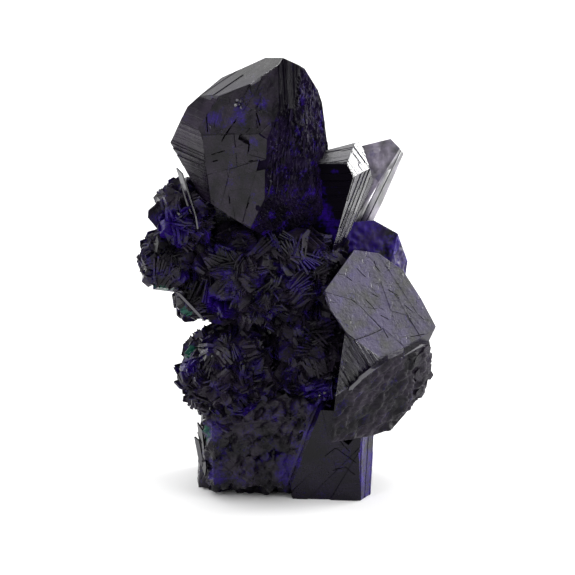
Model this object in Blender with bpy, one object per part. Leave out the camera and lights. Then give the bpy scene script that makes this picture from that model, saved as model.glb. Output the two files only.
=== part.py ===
"""Azurite specimen: crystals grown together into one cluster, broken off flat at its foot.

Metres, +Z up, the front towards -Y. Every place below is in millimetres and is scaled once,
in mm(). The origin is on the floor, under the middle of the cluster. An azimuth of 0 faces the
front and 90 faces +X; a tilt is how far a face looks up from level.
"""

import math
import random

import bmesh
import bpy
from mathutils import Matrix, Vector, noise

MM = 0.001
NAME = "azurite_cluster"
STANCE = (0.1, 0.4)  # how far the places below are moved in X and Y, to stand over the origin
ROUGH_BLOCK = 44.0  # side of the block that each large crystal is cut from
RIM_DROP = 16.0  # the rims run back from the front and down by this many degrees
OVERLAP = 1.2  # how deep a raised growth layer is rooted in its crystal
SHY = 0.03  # how far a growth layer's ends stop short of its crystal's other faces

CROWN = {
    "heart": (-3.0, 0.0, 31.9),
    "faces": {
        "lower_front": (-22, -4, (-2.5, -5.5, 30.9)),
        "upper_front": (-24, 13, (-3.8, -5.2, 34.2)),
        "left_striated": (-48, -6, (-7.0, -3.8, 32.3)),
        "crest": (-8, 17, (-2.8, -4.7, 37.9)),
        "small_dark": (-56, 22, (-7.7, -3.3, 34.3)),
        "bevel": (-50, 50, (-6.0, -3.4, 37.4)),
        "right_rough": (38, 6, (-1.4, -6.0, 31.1)),
        "right_side": (66, 4, (1.6, -3.5, 32.3)),
        "under_right": (38, -25, (-1.9, -5.0, 27.0)),
        "under_left": (-35, -27, (-6.1, -4.0, 27.4)),
        "root": (-36, -70, (-2.1, -3.0, 22.5)),
        "back": (160, 8, (-3.1, 4.0, 31.4)),
        "back_left": (-140, -4, (-8.0, 2.2, 31.8)),
        "back_right": (118, 10, (3.0, 3.6, 31.5)),
    },
    "rim_depth": -0.4,
    "rim": [(-8.6, 29.4), (-10.1, 32.2), (-8.5, 35.4), (-5.5, 38.0), (-1.6, 39.7),
            (0.0, 39.6), (1.8, 38.8), (3.0, 37.0), (3.9, 34.2), (4.3, 29.0)],
}
SHOULDER = {
    "heart": (3.7, 3.0, 26.5),
    "faces": {
        "front": (-10, -4, (4.5, -0.5, 27.4)),
        "roof": (-14, 58, (5.4, -0.9, 30.4)),
        "band_upper": (60, 22, (6.1, -1.0, 30.3)),
        "band_lower": (62, -16, (6.0, -0.7, 26.7)),
        "back": (175, 5, (4.2, 7.0, 26.9)),
        "left": (-90, 5, (-1.5, 4.0, 26.3)),
    },
    "rim_depth": 2.0,
    "rim": [(2.8, 30.6), (6.8, 31.7), (8.2, 27.6), (4.7, 21.3), (-1.3, 21.1)],
}
BACK_PLATE = {
    "heart": (8.0, 6.0, 26.7),
    "faces": {
        "front": (4, 14, (8.6, 3.6, 29.2)),
        "right_bright": (66, -20, (9.5, 3.3, 27.7)),
        "back": (178, 0, (8.8, 8.4, 26.4)),
        "left": (-90, 0, (4.5, 6.0, 26.0)),
    },
    "rim_depth": 5.8,
    "rim": [(5.5, 29.8), (6.9, 30.3), (9.6, 31.0), (11.0, 29.5), (8.9, 25.1), (7.4, 21.5),
            (4.5, 21.0)],
}
REAR_KNOB = {
    "heart": (8.6, 6.0, 20.1),
    "faces": {
        "front": (18, 8, (8.9, 2.4, 21.5)),
        "front_right": (58, -4, (9.9, 2.7, 21.0)),
        "back": (170, -6, (9.3, 8.8, 19.6)),
        "left": (-90, 0, (4.5, 6.0, 20.0)),
    },
    "rim_depth": 6.0,
    "rim": [(6.0, 23.1), (8.1, 23.3), (10.4, 22.0), (11.3, 19.6), (10.8, 15.8), (4.5, 14.6)],
}
PLATE = {
    "heart": (7.8, -3.0, 17.0),
    "faces": {
        "broad": (28, 30, (3.2, -7.2, 20.0)),
        "left_striated": (-70, -6, (5.3, -9.0, 15.6)),
        "edge_strip": (42, -16, (9.2, -8.0, 14.0)),
        "under": (43, -19, (9.5, -7.3, 13.3)),
        "foot": (20, -72, (8.6, -6.0, 8.0)),
        "back": (-152, -26, (8.7, 2.0, 16.9)),
    },
    "rim_depth": -1.5,
    "rim": [(3.1, 18.2), (6.2, 22.6), (8.4, 22.3), (10.6, 20.7), (12.2, 18.1), (13.5, 15.5),
            (12.6, 13.5)],
}
LOWER_PLATE = {
    "heart": (8.3, -3.0, 9.4),
    "faces": {
        "broad": (43, -19, (9.5, -7.4, 13.3)),
        "top": (16, 60, (9.7, -3.0, 13.6)),
        "back": (178, -10, (8.8, 3.0, 7.1)),
    },
    "rim_depth": -2.6,
    "rim": [(3.9, 5.1), (3.9, 9.1), (6.1, 10.0), (12.2, 14.3), (13.3, 14.0), (13.5, 12.2),
            (13.2, 10.1), (11.3, 8.0), (9.7, 6.2), (7.8, 5.6), (3.9, 5.1)],
}
FOOT_BLOCK = {
    "heart": (-2.0, -1.0, 4.4),
    "faces": {
        "front": (-4, -6, (-1.7, -5.2, 5.5)),
        "shoulder": (-12, 38, (-2.4, -5.0, 8.3)),
        "right_bevel": (68, -16, (2.2, -5.5, 5.6)),
        "left": (-78, -2, (-7.0, -2.0, 3.9)),
        "lower_bevel": (-4, -56, (-2.0, -4.8, 2.1)),
        "back": (176, 0, (-2.1, 5.0, 2.5)),
    },
    "rim_depth": -3.5,
    "rim": [(-7.5, -2.2), (-7.0, 9.1), (4.1, 9.6), (4.1, 8.8), (1.7, 1.0), (0.9, -2.2)],
}
FOOT_COLUMN = {
    "heart": (5.5, -1.0, 2.4),
    "faces": {
        "front": (-6, -4, (5.0, -4.6, 3.4)),
        "right": (62, -2, (6.9, -4.8, 3.5)),
        "left": (-84, 0, (0.4, -1.0, 2.6)),
        "back": (170, 0, (5.6, 4.5, 0.7)),
    },
    "rim_depth": -2.0,
    "rim": [(1.4, 8.0), (8.1, 7.6), (7.8, -1.8)],
}
REAR_CROWN = {
    "heart": (-4.0, 5.0, 24.5),
    "faces": {
        "back": (172, 12, (-4.0, 8.6, 24.0)),
        "back_left": (-130, 6, (-7.6, 6.6, 24.0)),
        "back_right": (122, 2, (-0.6, 7.4, 24.0)),
        "left": (-92, 10, (-8.6, 4.5, 24.0)),
        "top": (176, 50, (-4.6, 6.8, 29.4)),
        "top_left": (-110, 44, (-7.0, 5.0, 28.6)),
        "front": (0, 10, (-4.5, 0.5, 26.0)),
        "right": (86, -4, (0.6, 5.0, 24.0)),
        "root": (170, -52, (-4.5, 7.8, 19.4)),
        "bottom": (0, -85, (-4.5, 5.0, 17.0)),
    },
}
REAR_SLAB = {
    "heart": (3.2, 4.5, 12.0),
    "faces": {
        "back": (158, -8, (3.2, 8.6, 12.6)),
        "back_right": (108, 6, (7.6, 6.0, 12.0)),
        "top": (150, 46, (4.0, 7.6, 17.0)),
        "top_left": (-150, 34, (0.4, 7.8, 16.0)),
        "left": (-112, -6, (-1.2, 6.6, 12.0)),
        "front": (0, 0, (3.2, -1.0, 12.0)),
        "root": (165, -56, (3.2, 7.8, 7.4)),
        "right": (86, 0, (8.4, 4.0, 12.0)),
        "bottom": (0, -85, (3.2, 4.5, 4.0)),
        "roof": (0, 80, (3.2, 4.5, 19.0)),
    },
}
REAR_FOOT = {
    "heart": (-3.4, 3.6, 8.0),
    "faces": {
        "back": (-170, 4, (-3.4, 7.0, 8.0)),
        "back_left": (-128, -4, (-6.6, 5.2, 8.0)),
        "top": (-164, 48, (-3.6, 6.2, 13.0)),
        "top_left": (-110, 40, (-6.6, 3.6, 12.0)),
        "right": (110, 0, (0.6, 5.0, 8.0)),
        "left": (-88, 4, (-7.4, 2.6, 8.0)),
        "front": (0, 0, (-3.4, -1.0, 8.0)),
        "root": (180, -60, (-3.4, 6.4, 2.4)),
        "bottom": (0, -90, (-3.4, 3.6, -2.0)),
        "roof": (0, 80, (-3.4, 3.6, 15.0)),
    },
}
BIG_CRYSTALS = {
    "crown": CROWN,
    "shoulder": SHOULDER,
    "back_plate": BACK_PLATE,
    "rear_knob": REAR_KNOB,
    "plate": PLATE,
    "lower_plate": LOWER_PLATE,
    "foot_block": FOOT_BLOCK,
    "foot_column": FOOT_COLUMN,
    "rear_crown": REAR_CROWN,
    "rear_slab": REAR_SLAB,
    "rear_foot": REAR_FOOT,
}

# Striated faces: crystal, face, number of ridges, rise, direction of the grooves (x, y, z).
STRIATIONS = [
    ("crown", "left_striated", 8, 0.16, (1.0, -1.08, -0.17)),
    ("crown", "small_dark", 3, 0.12, (1.0, -1.3, -0.3)),
    ("shoulder", "front", 7, 0.16, (1.0, 0.0, 0.08)),
    ("shoulder", "roof", 4, 0.14, (1.0, 0.0, 0.26)),
    ("shoulder", "band_upper", 4, 0.2, (0.5, 0.0, -0.9)),
    ("shoulder", "band_lower", 4, 0.2, (-0.5, 0.0, -0.9)),
    ("back_plate", "right_bright", 4, 0.16, (-0.5, 0.0, -1.0)),
    ("plate", "left_striated", 6, 0.14, (0.5, 0.0, -0.9)),
    ("foot_block", "right_bevel", 2, 0.12, (-0.35, 0.0, -1.0)),
    ("rear_crown", "back", 6, 0.18, (0.2, 0.0, 1.0)),
    ("rear_slab", "back", 6, 0.18, (1.0, 0.0, -0.3)),
]
# Raised growth layers: crystal, face, rise, then the cuts that bound it (azimuth, tilt, point).
TERRACES = [
    ("plate", "broad", 0.22, [(-128, 30, (6.4, -7.0, 19.2)), (-60, -52, (7.8, -8.0, 15.2))]),
    ("plate", "broad", 0.4, [(-150, 10, (8.8, -5.0, 19.4)), (20, -66, (9.4, -7.0, 17.0))]),
    ("crown", "lower_front", 0.28, [(50, 38, (-3.2, -5.4, 31.6)), (-70, -20, (-6.2, -4.2, 30.0))]),
    ("crown", "upper_front", 0.25, [(-60, -40, (-5.2, -4.4, 35.2)), (64, 16, (-3.0, -5.0, 36.0))]),
    ("foot_block", "front", 0.3, [(60, 30, (-1.0, -5.2, 6.6)), (-30, -50, (-3.0, -5.0, 3.8))]),
    ("foot_block", "front", 0.22, [(-90, 20, (-5.2, -5.0, 6.0)), (30, -64, (-3.0, -5.0, 6.2))]),
    ("foot_column", "front", 0.25, [(-40, 52, (5.6, -4.6, 4.2)), (90, 0, (6.2, -4.6, 3.0))]),
    ("lower_plate", "broad", 0.3, [(-70, 40, (8.6, -7.0, 10.6)), (130, -10, (11.6, -5.0, 10.6))]),
    ("rear_slab", "back", 0.4, [(60, 10, (6.0, 9.0, 12.0)), (-100, -40, (1.6, 9.6, 10.4))]),
]
# Chipped places: middle, size along and across, depth, azimuth, tilt, roll.
CHIPS = [
    ((-4.6, -5.4, 32.9), 2.6, 0.9, 0.45, -24, 10, 28),
    ((-3.4, -5.7, 31.9), 1.6, 0.7, 0.5, -20, 0, -36),
    ((-5.4, -4.9, 35.4), 1.2, 0.8, 0.35, -24, 16, 50),
    ((-1.4, -5.4, 35.2), 1.6, 0.5, 0.4, -14, 10, 74),
    ((-4.7, -4.6, 28.0), 2.4, 1.4, 0.9, -30, -20, 40),
    ((12.7, -5.6, 14.6), 1.3, 1.0, 1.2, 40, 20, 20),
    ((5.6, -4.7, 6.6), 1.7, 1.2, 0.9, -6, 0, 12),
    ((9.6, -6.6, 18.6), 1.5, 0.3, 0.3, 28, 30, 24),
    ((-3.6, -5.3, 3.4), 2.0, 0.7, 0.35, -4, -6, -20),
    ((10.6, -6.9, 11.0), 1.8, 0.5, 0.35, 43, -19, 52),
    ((1.4, 9.9, 14.8), 2.2, 0.9, 0.5, 158, -8, 40),
    ((-5.6, 9.6, 26.2), 1.8, 0.8, 0.5, 172, 14, 24),
]
# Crumbly lumps: middle and half sizes; then how many stout crystals and their length, width and
# thickness; then the same for the thin blades.
LUMPS = {
    "upper_left": ((-8.7, -0.8, 25.7), (2.3, 3.3, 2.9), (14, 3.2, 2.4, 1.5), (22, 2.0, 1.1, 0.4)),
    "left_tip": ((-9.6, -0.4, 21.4), (2.4, 3.3, 2.2), (14, 3.0, 2.2, 1.3), (24, 2.0, 1.0, 0.38)),
    "middle": ((-2.4, -0.4, 20.2), (6.6, 4.4, 4.6), (34, 4.0, 3.0, 1.8), (56, 2.4, 1.4, 0.45)),
    "lobe": ((-4.5, -1.5, 11.1), (4.2, 4.2, 4.0), (24, 3.0, 2.4, 1.3), (60, 1.9, 1.1, 0.36)),
    "waist": ((2.6, -1.2, 12.6), (3.7, 4.2, 5.2), (20, 3.4, 2.4, 1.5), (26, 2.2, 1.2, 0.4)),
    "core": ((-0.4, 2.6, 19.0), (7.2, 4.0, 9.4), (26, 3.8, 2.8, 1.7), (30, 2.4, 1.4, 0.5)),
    "foot_core": ((1.4, 1.0, 8.4), (5.4, 4.2, 5.6), (10, 3.0, 2.2, 1.3), (12, 1.8, 1.0, 0.4)),
    "rear_step": ((4.6, 4.0, 19.6), (4.4, 3.4, 4.2), (14, 3.4, 2.6, 1.6), (18, 2.2, 1.2, 0.45)),
}
LUMP_ROUGHNESS = 0.09  # share of a lump's size that its surface wanders by
WAYWARD = 0.9  # how far a small crystal turns from pointing straight out
STOUT_SUNK = 0.22  # how deep a stout crystal's middle lies under the skin, as a share of its length
THIN_SUNK = -0.12  # the same for a thin blade, whose middle lies above it
SPLINTER_COUNT = 30
SPLINTER_SIZE = (4.2, 0.5, 0.55)  # length, width and thickness of one long crystal of the rough side
LOOSE_BLADES = [  # middle, length, width, thickness, azimuth, tilt, roll
    ((-8.2, -4.2, 28.0), 5.4, 1.0, 0.4, -40, 8, 74),
    ((-8.4, -4.6, 19.2), 3.6, 0.7, 0.4, -46, 20, -42),
    ((-10.2, -3.0, 26.7), 3.6, 2.4, 1.4, -50, 10, 70),
    ((-12.3, -0.6, 21.6), 3.0, 2.2, 1.4, -64, 0, -50),
    ((-7.3, -2.4, 4.6), 5.2, 1.1, 0.4, -62, 2, 86),
    ((5.4, -4.6, 9.2), 3.0, 1.2, 0.5, 20, 0, 34),
    ((3.4, -5.2, 9.0), 1.8, 0.8, 0.5, -10, 10, 60),
    ((6.6, -2.2, 22.4), 3.4, 0.6, 0.4, 40, 20, -62),
]
FLOOR_BLOCK = 60.0  # the cutter that takes off everything below the floor


def mm(place):
    """A place in millimetres, moved to its stance and turned into metres."""
    return Vector((place[0] + STANCE[0], place[1] + STANCE[1], place[2])) * MM


def facing(azimuth, tilt):
    """The outward direction of a face."""
    turn, rise = math.radians(azimuth), math.radians(tilt)
    return Vector((math.cos(rise) * math.sin(turn), -math.cos(rise) * math.cos(turn), math.sin(rise)))


def planes_of(crystal):
    """The named cutting planes of a crystal, as (point, outward direction) in metres."""
    planes = {}
    for name, (azimuth, tilt, through) in crystal["faces"].items():
        planes[name] = (mm(through), facing(azimuth, tilt))
    drop = math.radians(RIM_DROP)
    runs_back = Vector((0, math.cos(drop), -math.sin(drop)))
    corners = crystal.get("rim", [])
    for step, (start, end) in enumerate(zip(corners, corners[1:])):
        along = Vector((end[0] - start[0], 0, end[1] - start[1]))
        outward = runs_back.cross(along).normalized()
        if outward.dot(Vector((-along.z, 0, along.x))) < 0:
            outward.negate()
        planes[f"rim_{step}"] = (mm((start[0], crystal["rim_depth"], start[1])), outward)
    return planes


def cut(mesh, point, outward):
    """Takes off what lies beyond one flat face, and closes the cut."""
    everything = mesh.verts[:] + mesh.edges[:] + mesh.faces[:]
    done = bmesh.ops.bisect_plane(mesh, geom=everything, dist=1e-8, plane_co=point,
                                  plane_no=outward, clear_outer=True)
    edges = [item for item in done["geom_cut"] if isinstance(item, bmesh.types.BMEdge)]
    if edges:
        bmesh.ops.edgeloop_fill(mesh, edges=edges)


def hewn(heart, planes, side=ROUGH_BLOCK):
    """A block around the heart, cut back by every plane."""
    mesh = bmesh.new()
    bmesh.ops.create_cube(mesh, size=side * MM, matrix=Matrix.Translation(mm(heart)))
    for point, outward in planes:
        cut(mesh, point, outward)
    return mesh


def keep(mesh, name, collection):
    """Stores a bmesh as an object with its faces pointing out."""
    bmesh.ops.recalc_face_normals(mesh, faces=mesh.faces)
    data = bpy.data.meshes.new(name)
    mesh.to_mesh(data)
    mesh.free()
    made = bpy.data.objects.new(name, data)
    collection.objects.link(made)
    return made


def raised(crystal, face, rise, cuts):
    """A growth layer: the crystal again with one face further out, bounded by cuts."""
    planes = {name: (point - outward * SHY * MM, outward)
              for name, (point, outward) in planes_of(crystal).items()}
    point, outward = planes[face]
    planes[face] = (point + outward * (rise + SHY) * MM, outward)
    root = (point - outward * OVERLAP * MM, -outward)
    return hewn(crystal["heart"], list(planes.values()) + [root] + cuts)


def ridges(crystal, face, count, rise, groove, pick):
    """Uneven ridges side by side on a face, along the direction of its grooves."""
    point, outward = planes_of(crystal)[face]
    groove = Vector(groove)
    groove = (groove - outward * groove.dot(outward)).normalized()
    across = outward.cross(groove).normalized()
    whole = raised(crystal, face, 0.0, [])
    reach = [(vert.co - point).dot(across) for vert in whole.verts]
    whole.free()
    low, high = min(reach), max(reach)
    pitch = (high - low) / count
    made = []
    for step in range(count):
        start = low + pitch * (step + pick.uniform(0.05, 0.4))
        end = start + pitch * pick.uniform(0.35, 0.62)
        cuts = [(point + across * start, -across), (point + across * end, across)]
        if pick.random() < 0.5:
            stop = groove * pick.choice((-1, 1))
            cuts.append((point + stop * pick.uniform(0.2, 1.2) * MM, (stop + across * 0.5).normalized()))
        made.append(raised(crystal, face, rise * pick.uniform(0.5, 1.4), cuts))
    return [mesh for mesh in made if mesh.faces]


def blade(middle, along, flat, size, slant):
    """A thin tapering crystal with a slanting end. Everything here is in metres."""
    length, width, thick = size
    along = along.normalized()
    side = along.cross(flat).normalized()
    up = side.cross(along).normalized()
    turn = Matrix((side, along, up)).transposed().to_4x4()
    mesh = bmesh.new()
    bmesh.ops.create_cube(mesh, size=1.0)
    for vert in mesh.verts:
        if vert.co.y > 0:
            vert.co.x *= 0.5
            vert.co.z *= 0.45
        vert.co = Vector((vert.co.x * width, vert.co.y * length, vert.co.z * thick))
    cut(mesh, Vector((0, length * 0.34, 0)), Vector((slant, 1, 0.2)).normalized())
    bmesh.ops.transform(mesh, matrix=Matrix.Translation(middle) @ turn, verts=mesh.verts)
    return mesh


def lump(middle, half, pick):
    """A rough rounded mass."""
    mesh = bmesh.new()
    bmesh.ops.create_icosphere(mesh, subdivisions=2, radius=1.0)
    offset = Vector((pick.uniform(0, 9), pick.uniform(0, 9), pick.uniform(0, 9)))
    for vert in mesh.verts:
        wander = 1 + LUMP_ROUGHNESS * noise.noise(vert.co * 2.2 + offset)
        vert.co = Vector([vert.co[axis] * half[axis] * MM * wander for axis in range(3)])
    bmesh.ops.translate(mesh, vec=mm(middle), verts=mesh.verts)
    return mesh


def rosette(middle, half, spread, sunk, pick):
    """Crystals that stick out of a lump all round, each turned its own way."""
    count, *size = spread
    made = []
    golden = math.pi * (3 - math.sqrt(5))
    for step in range(count):
        height = 1 - (2 * step + 1) / count
        ring = math.sqrt(1 - height * height)
        spin = step * golden + pick.uniform(-0.3, 0.3)
        out = Vector((ring * math.cos(spin), ring * math.sin(spin), height))
        skin = mm(middle) + Vector([out[axis] * half[axis] * MM for axis in range(3)])
        normal = Vector([out[axis] / half[axis] for axis in range(3)]).normalized()
        stray = Vector((pick.uniform(-1, 1), pick.uniform(-1, 1), pick.uniform(-1, 1)))
        scale = pick.uniform(0.7, 1.3) * MM
        made.append(blade(skin - normal * sunk * size[0] * MM, normal + stray * WAYWARD, stray,
                          [value * scale for value in size], pick.uniform(-0.7, 0.7)))
    return made


def splinters(pick):
    """Long thin crystals side by side on the crown's rough right side."""
    made = []
    point, outward = planes_of(CROWN)["right_rough"]
    side_point, side_outward = planes_of(CROWN)["right_side"]
    for step in range(SPLINTER_COUNT):
        on_side = step % 3 == 2
        face_point, face_outward = (side_point, side_outward) if on_side else (point, outward)
        across = Vector((0, 0, 1)).cross(face_outward).normalized()
        upward = face_outward.cross(across).normalized()
        spread = pick.uniform(-0.2, 2.6) if on_side else pick.uniform(0.6, 3.8)
        place = face_point + across * spread * MM + upward * pick.uniform(-4.0, 5.0) * MM
        lean = upward + across * pick.uniform(-0.16, 0.16)
        scale = pick.uniform(0.6, 1.3)
        made.append(blade(place, lean * pick.choice((-1, 1)), face_outward,
                          [value * scale * MM for value in SPLINTER_SIZE], pick.uniform(-0.8, 0.8)))
    return made


def chip(middle, along, across, depth, azimuth, tilt, roll):
    """A cutter for a chipped place: a slanting box sunk in a face."""
    outward = facing(azimuth, tilt)
    level = Vector((0, 0, 1)).cross(outward).normalized()
    direction = Matrix.Rotation(math.radians(roll), 3, outward) @ level
    size = [along * MM, across * MM, depth * 2 * MM]
    return blade(mm(middle), direction, outward, size, 0.8)


def union(base, others, name, collection):
    """Joins everything in a collection to the base object."""
    join = base.modifiers.new(name, "BOOLEAN")
    join.operation = "UNION"
    join.operand_type = "COLLECTION"
    join.collection = others
    join.solver = "MANIFOLD"
    join.use_self = False
    return join


def settle(made):
    """Applies the modifiers and keeps the outer skin, without any closed hollow inside."""
    graph = bpy.context.evaluated_depsgraph_get()
    data = bpy.data.meshes.new_from_object(made.evaluated_get(graph))
    made.modifiers.clear()
    made.data = data
    mesh = bmesh.new()
    mesh.from_mesh(data)
    bmesh.ops.triangulate(mesh, faces=mesh.faces)
    skins = []
    waiting = set(mesh.verts)
    while waiting:
        skin = {waiting.pop()}
        edge_of = list(skin)
        while edge_of:
            for edge in edge_of.pop().link_edges:
                for vert in edge.verts:
                    if vert in waiting:
                        waiting.remove(vert)
                        skin.add(vert)
                        edge_of.append(vert)
        skins.append(skin)
    skins.sort(key=len)
    for skin in skins[:-1]:
        bmesh.ops.delete(mesh, geom=list(skin), context="VERTS")
    mesh.to_mesh(data)
    mesh.free()


def azurite():
    """Near-black blue with a glassy shine."""
    material = bpy.data.materials.new("azurite")
    material.use_nodes = True
    shader = material.node_tree.nodes["Principled BSDF"]
    shader.inputs["Base Color"].default_value = (0.012, 0.008, 0.06, 1)
    shader.inputs["Roughness"].default_value = 0.2
    shader.inputs["Metallic"].default_value = 0.0
    shader.inputs["IOR"].default_value = 1.75
    return material


def main():
    for leftover in list(bpy.data.objects):
        bpy.data.objects.remove(leftover)
    part = bpy.data.collections.new("azurite_specimen")
    growth = bpy.data.collections.new("growth")
    chips = bpy.data.collections.new("chips")
    for collection in (part, growth, chips):
        bpy.context.scene.collection.children.link(collection)

    pick = random.Random(3722)
    names = iter(range(10000))
    core = None
    for name, (middle, half, stout, thin) in LUMPS.items():
        made = keep(lump(middle, half, pick), name, growth)
        if name == "core":
            core = made
        stout_crystals = rosette(middle, half, stout, STOUT_SUNK, pick)
        for mesh in stout_crystals + rosette(middle, half, thin, THIN_SUNK, pick):
            keep(mesh, f"blade_{next(names)}", growth)
    for name, crystal in BIG_CRYSTALS.items():
        keep(hewn(crystal["heart"], planes_of(crystal).values()), name, growth)
    for name, face, count, rise, groove in STRIATIONS:
        for mesh in ridges(BIG_CRYSTALS[name], face, count, rise, groove, pick):
            keep(mesh, f"ridge_{next(names)}", growth)
    for name, face, rise, cuts in TERRACES:
        planes = [(mm(through), facing(azimuth, tilt)) for azimuth, tilt, through in cuts]
        keep(raised(BIG_CRYSTALS[name], face, rise, planes), f"terrace_{next(names)}", growth)
    for mesh in splinters(pick):
        keep(mesh, f"splinter_{next(names)}", growth)
    for middle, *size, azimuth, tilt, roll in LOOSE_BLADES:
        outward = facing(azimuth, tilt)
        level = Vector((0, 0, 1)).cross(outward).normalized()
        direction = Matrix.Rotation(math.radians(roll), 3, outward) @ level
        scaled = [value * MM for value in size]
        keep(blade(mm(middle), direction, outward, scaled, 0.5), f"loose_{next(names)}", growth)

    for chipped in CHIPS:
        keep(chip(*chipped), f"chip_{next(names)}", chips)
    below = bmesh.new()
    bmesh.ops.create_cube(below, size=FLOOR_BLOCK * MM,
                          matrix=Matrix.Translation((0, 0, -FLOOR_BLOCK / 2 * MM)))
    keep(below, "below_floor", chips)

    growth.objects.unlink(core)
    part.objects.link(core)
    core.name = NAME
    core.data.name = NAME
    union(core, growth, "grown_together", part)
    trim = core.modifiers.new("broken_off", "BOOLEAN")
    trim.operation = "DIFFERENCE"
    trim.operand_type = "COLLECTION"
    trim.collection = chips
    trim.solver = "MANIFOLD"
    bpy.context.view_layer.update()
    settle(core)
    core.data.materials.clear()
    core.data.materials.append(azurite())
    for helpers in (growth, chips):
        for helper in helpers.objects:
            helper.hide_render = True
            helper.display_type = "WIRE"


main()
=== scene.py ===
# %% [markdown]
# # Azurite specimen
#
# Azurite is a copper mineral that grows as stout blades of very dark blue. This specimen is one
# cluster: a tall crown crystal, a plate leaning out on the right, two broken crystals that make the
# foot, and between them crumbly rosettes of thin blades. The solid that was packed has the large
# forms. Here every crystal is cut again, from nearly the same faces, and gets what only a close look
# shows: growth ridges, steps where it broke, rough sides, thousands of small blades, and its finish.
#
# The first cell loads the imported solid as the fixed frame.

import math
import random

import bmesh
import bpy
from mathutils import Matrix, Vector


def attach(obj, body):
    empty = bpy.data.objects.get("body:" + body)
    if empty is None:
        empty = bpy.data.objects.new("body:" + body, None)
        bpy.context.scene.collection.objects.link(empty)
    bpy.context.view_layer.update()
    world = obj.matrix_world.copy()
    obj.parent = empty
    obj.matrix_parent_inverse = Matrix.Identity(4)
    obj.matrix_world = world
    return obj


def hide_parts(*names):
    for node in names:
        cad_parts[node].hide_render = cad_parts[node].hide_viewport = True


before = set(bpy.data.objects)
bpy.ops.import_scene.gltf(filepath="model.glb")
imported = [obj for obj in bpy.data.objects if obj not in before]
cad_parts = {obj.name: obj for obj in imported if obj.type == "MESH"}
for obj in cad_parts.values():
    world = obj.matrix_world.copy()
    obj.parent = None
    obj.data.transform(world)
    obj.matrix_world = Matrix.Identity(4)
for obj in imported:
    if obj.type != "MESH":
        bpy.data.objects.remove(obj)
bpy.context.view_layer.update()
MM = 0.001
SOLID = "azurite_cluster"

# %% [markdown]
# ## Places and directions
#
# A crystal is bounded by flat faces, so the honest way to describe one is a list of planes, not a
# list of corners. Each face has an azimuth (0 looks at the viewer, 90 to the right), a tilt (how far
# it looks up) and one point that it passes through, all in millimetres. Small faces that only show
# as the outline are given as a rim: corners in X and Z at one depth, whose faces run back and
# slightly down. A sculpted mesh could match the outline too, but never with edges as crisp.

# %% Places and directions
STANCE = (0.1, 0.4)
RIM_DROP = 16.0


def mm(place):
    """A place in millimetres, moved to its stance and turned into metres."""
    return Vector((place[0] + STANCE[0], place[1] + STANCE[1], place[2])) * MM


def facing(azimuth, tilt):
    """The outward direction of a face."""
    turn, rise = math.radians(azimuth), math.radians(tilt)
    return Vector((math.cos(rise) * math.sin(turn), -math.cos(rise) * math.cos(turn), math.sin(rise)))


def planes_of(crystal):
    """The named planes of a crystal, as (point, outward direction) in metres."""
    planes = {}
    for name, (azimuth, tilt, through) in crystal["faces"].items():
        planes[name] = (mm(through), facing(azimuth, tilt))
    drop = math.radians(RIM_DROP)
    runs_back = Vector((0, math.cos(drop), -math.sin(drop)))
    corners = crystal.get("rim", [])
    for step, (start, end) in enumerate(zip(corners, corners[1:])):
        along = Vector((end[0] - start[0], 0, end[1] - start[1]))
        outward = runs_back.cross(along).normalized()
        if outward.dot(Vector((-along.z, 0, along.x))) < 0:
            outward.negate()
        planes[f"rim_{step}"] = (mm((start[0], crystal["rim_depth"], start[1])), outward)
    return planes


def count_faces(**crystals):
    """Says how many faces each crystal has."""
    for name, crystal in crystals.items():
        print(name, len(planes_of(crystal)), "faces")


print("azimuth 90, tilt 0 looks to", [round(value, 2) for value in facing(90, 0)])

# %% [markdown]
# ## Camera
#
# The camera stands well back with a long lens, as for any small object, and looks slightly down.
# A short lens close by would show the cluster as large, but its parallel edges would splay.

# %% Camera
CAMERA_TILT = 16.0
CAMERA_DISTANCE = 0.2875
LENS = 200.0
NEAREST = 0.01
FURTHEST = 10.0
LOOK_AT = mm((0.3, 0.0, 18.7))


def place_camera():
    """A camera in front of the cluster, looking slightly down."""
    data = bpy.data.cameras.new("camera")
    data.lens = LENS
    data.clip_start = NEAREST
    data.clip_end = FURTHEST
    camera = bpy.data.objects.new("camera", data)
    bpy.context.scene.collection.objects.link(camera)
    camera.location = LOOK_AT + facing(0, CAMERA_TILT) * CAMERA_DISTANCE
    camera.rotation_euler = (math.radians(90 - CAMERA_TILT), 0, 0)
    bpy.context.scene.camera = camera


place_camera()
bpy.context.scene.view_settings.view_transform = "Standard"
print("camera, mm:", [round(value / MM) for value in bpy.context.scene.camera.location])

# %% [markdown]
# ## Writing a shader as arithmetic
#
# A procedural finish is a formula over the surface. To keep it readable, one small class wraps a
# node's output, so that `dust * 2 + grain` adds the Math nodes by itself. The nodes could be laid out
# one by one, as in the editor, but a formula is read at a glance.

# %% A node's output
class Field:
    """A node's output that can be used in an expression."""

    def __init__(self, net, socket):
        self.net = net
        self.socket = socket

    def math(self, operation, first, second):
        """Adds a Math node."""
        return self.net.node("ShaderNodeMath", {"operation": operation}, {0: first, 1: second})

    def __add__(self, other):
        return self.math("ADD", self, other)

    __radd__ = __add__

    def __rsub__(self, other):
        return self.math("SUBTRACT", other, self)

    def __mul__(self, other):
        return self.math("MULTIPLY", self, other)

    __rmul__ = __mul__


# %% [markdown]
# ## A tree of nodes
#
# All other nodes come from one method, which takes the node's type, its settings and the values or
# links of its sockets. The patterns that stone needs, such as patches, cells and fibres, are short
# methods on top of it. Each finish could add its nodes itself, but there are dozens in every finish.

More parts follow.
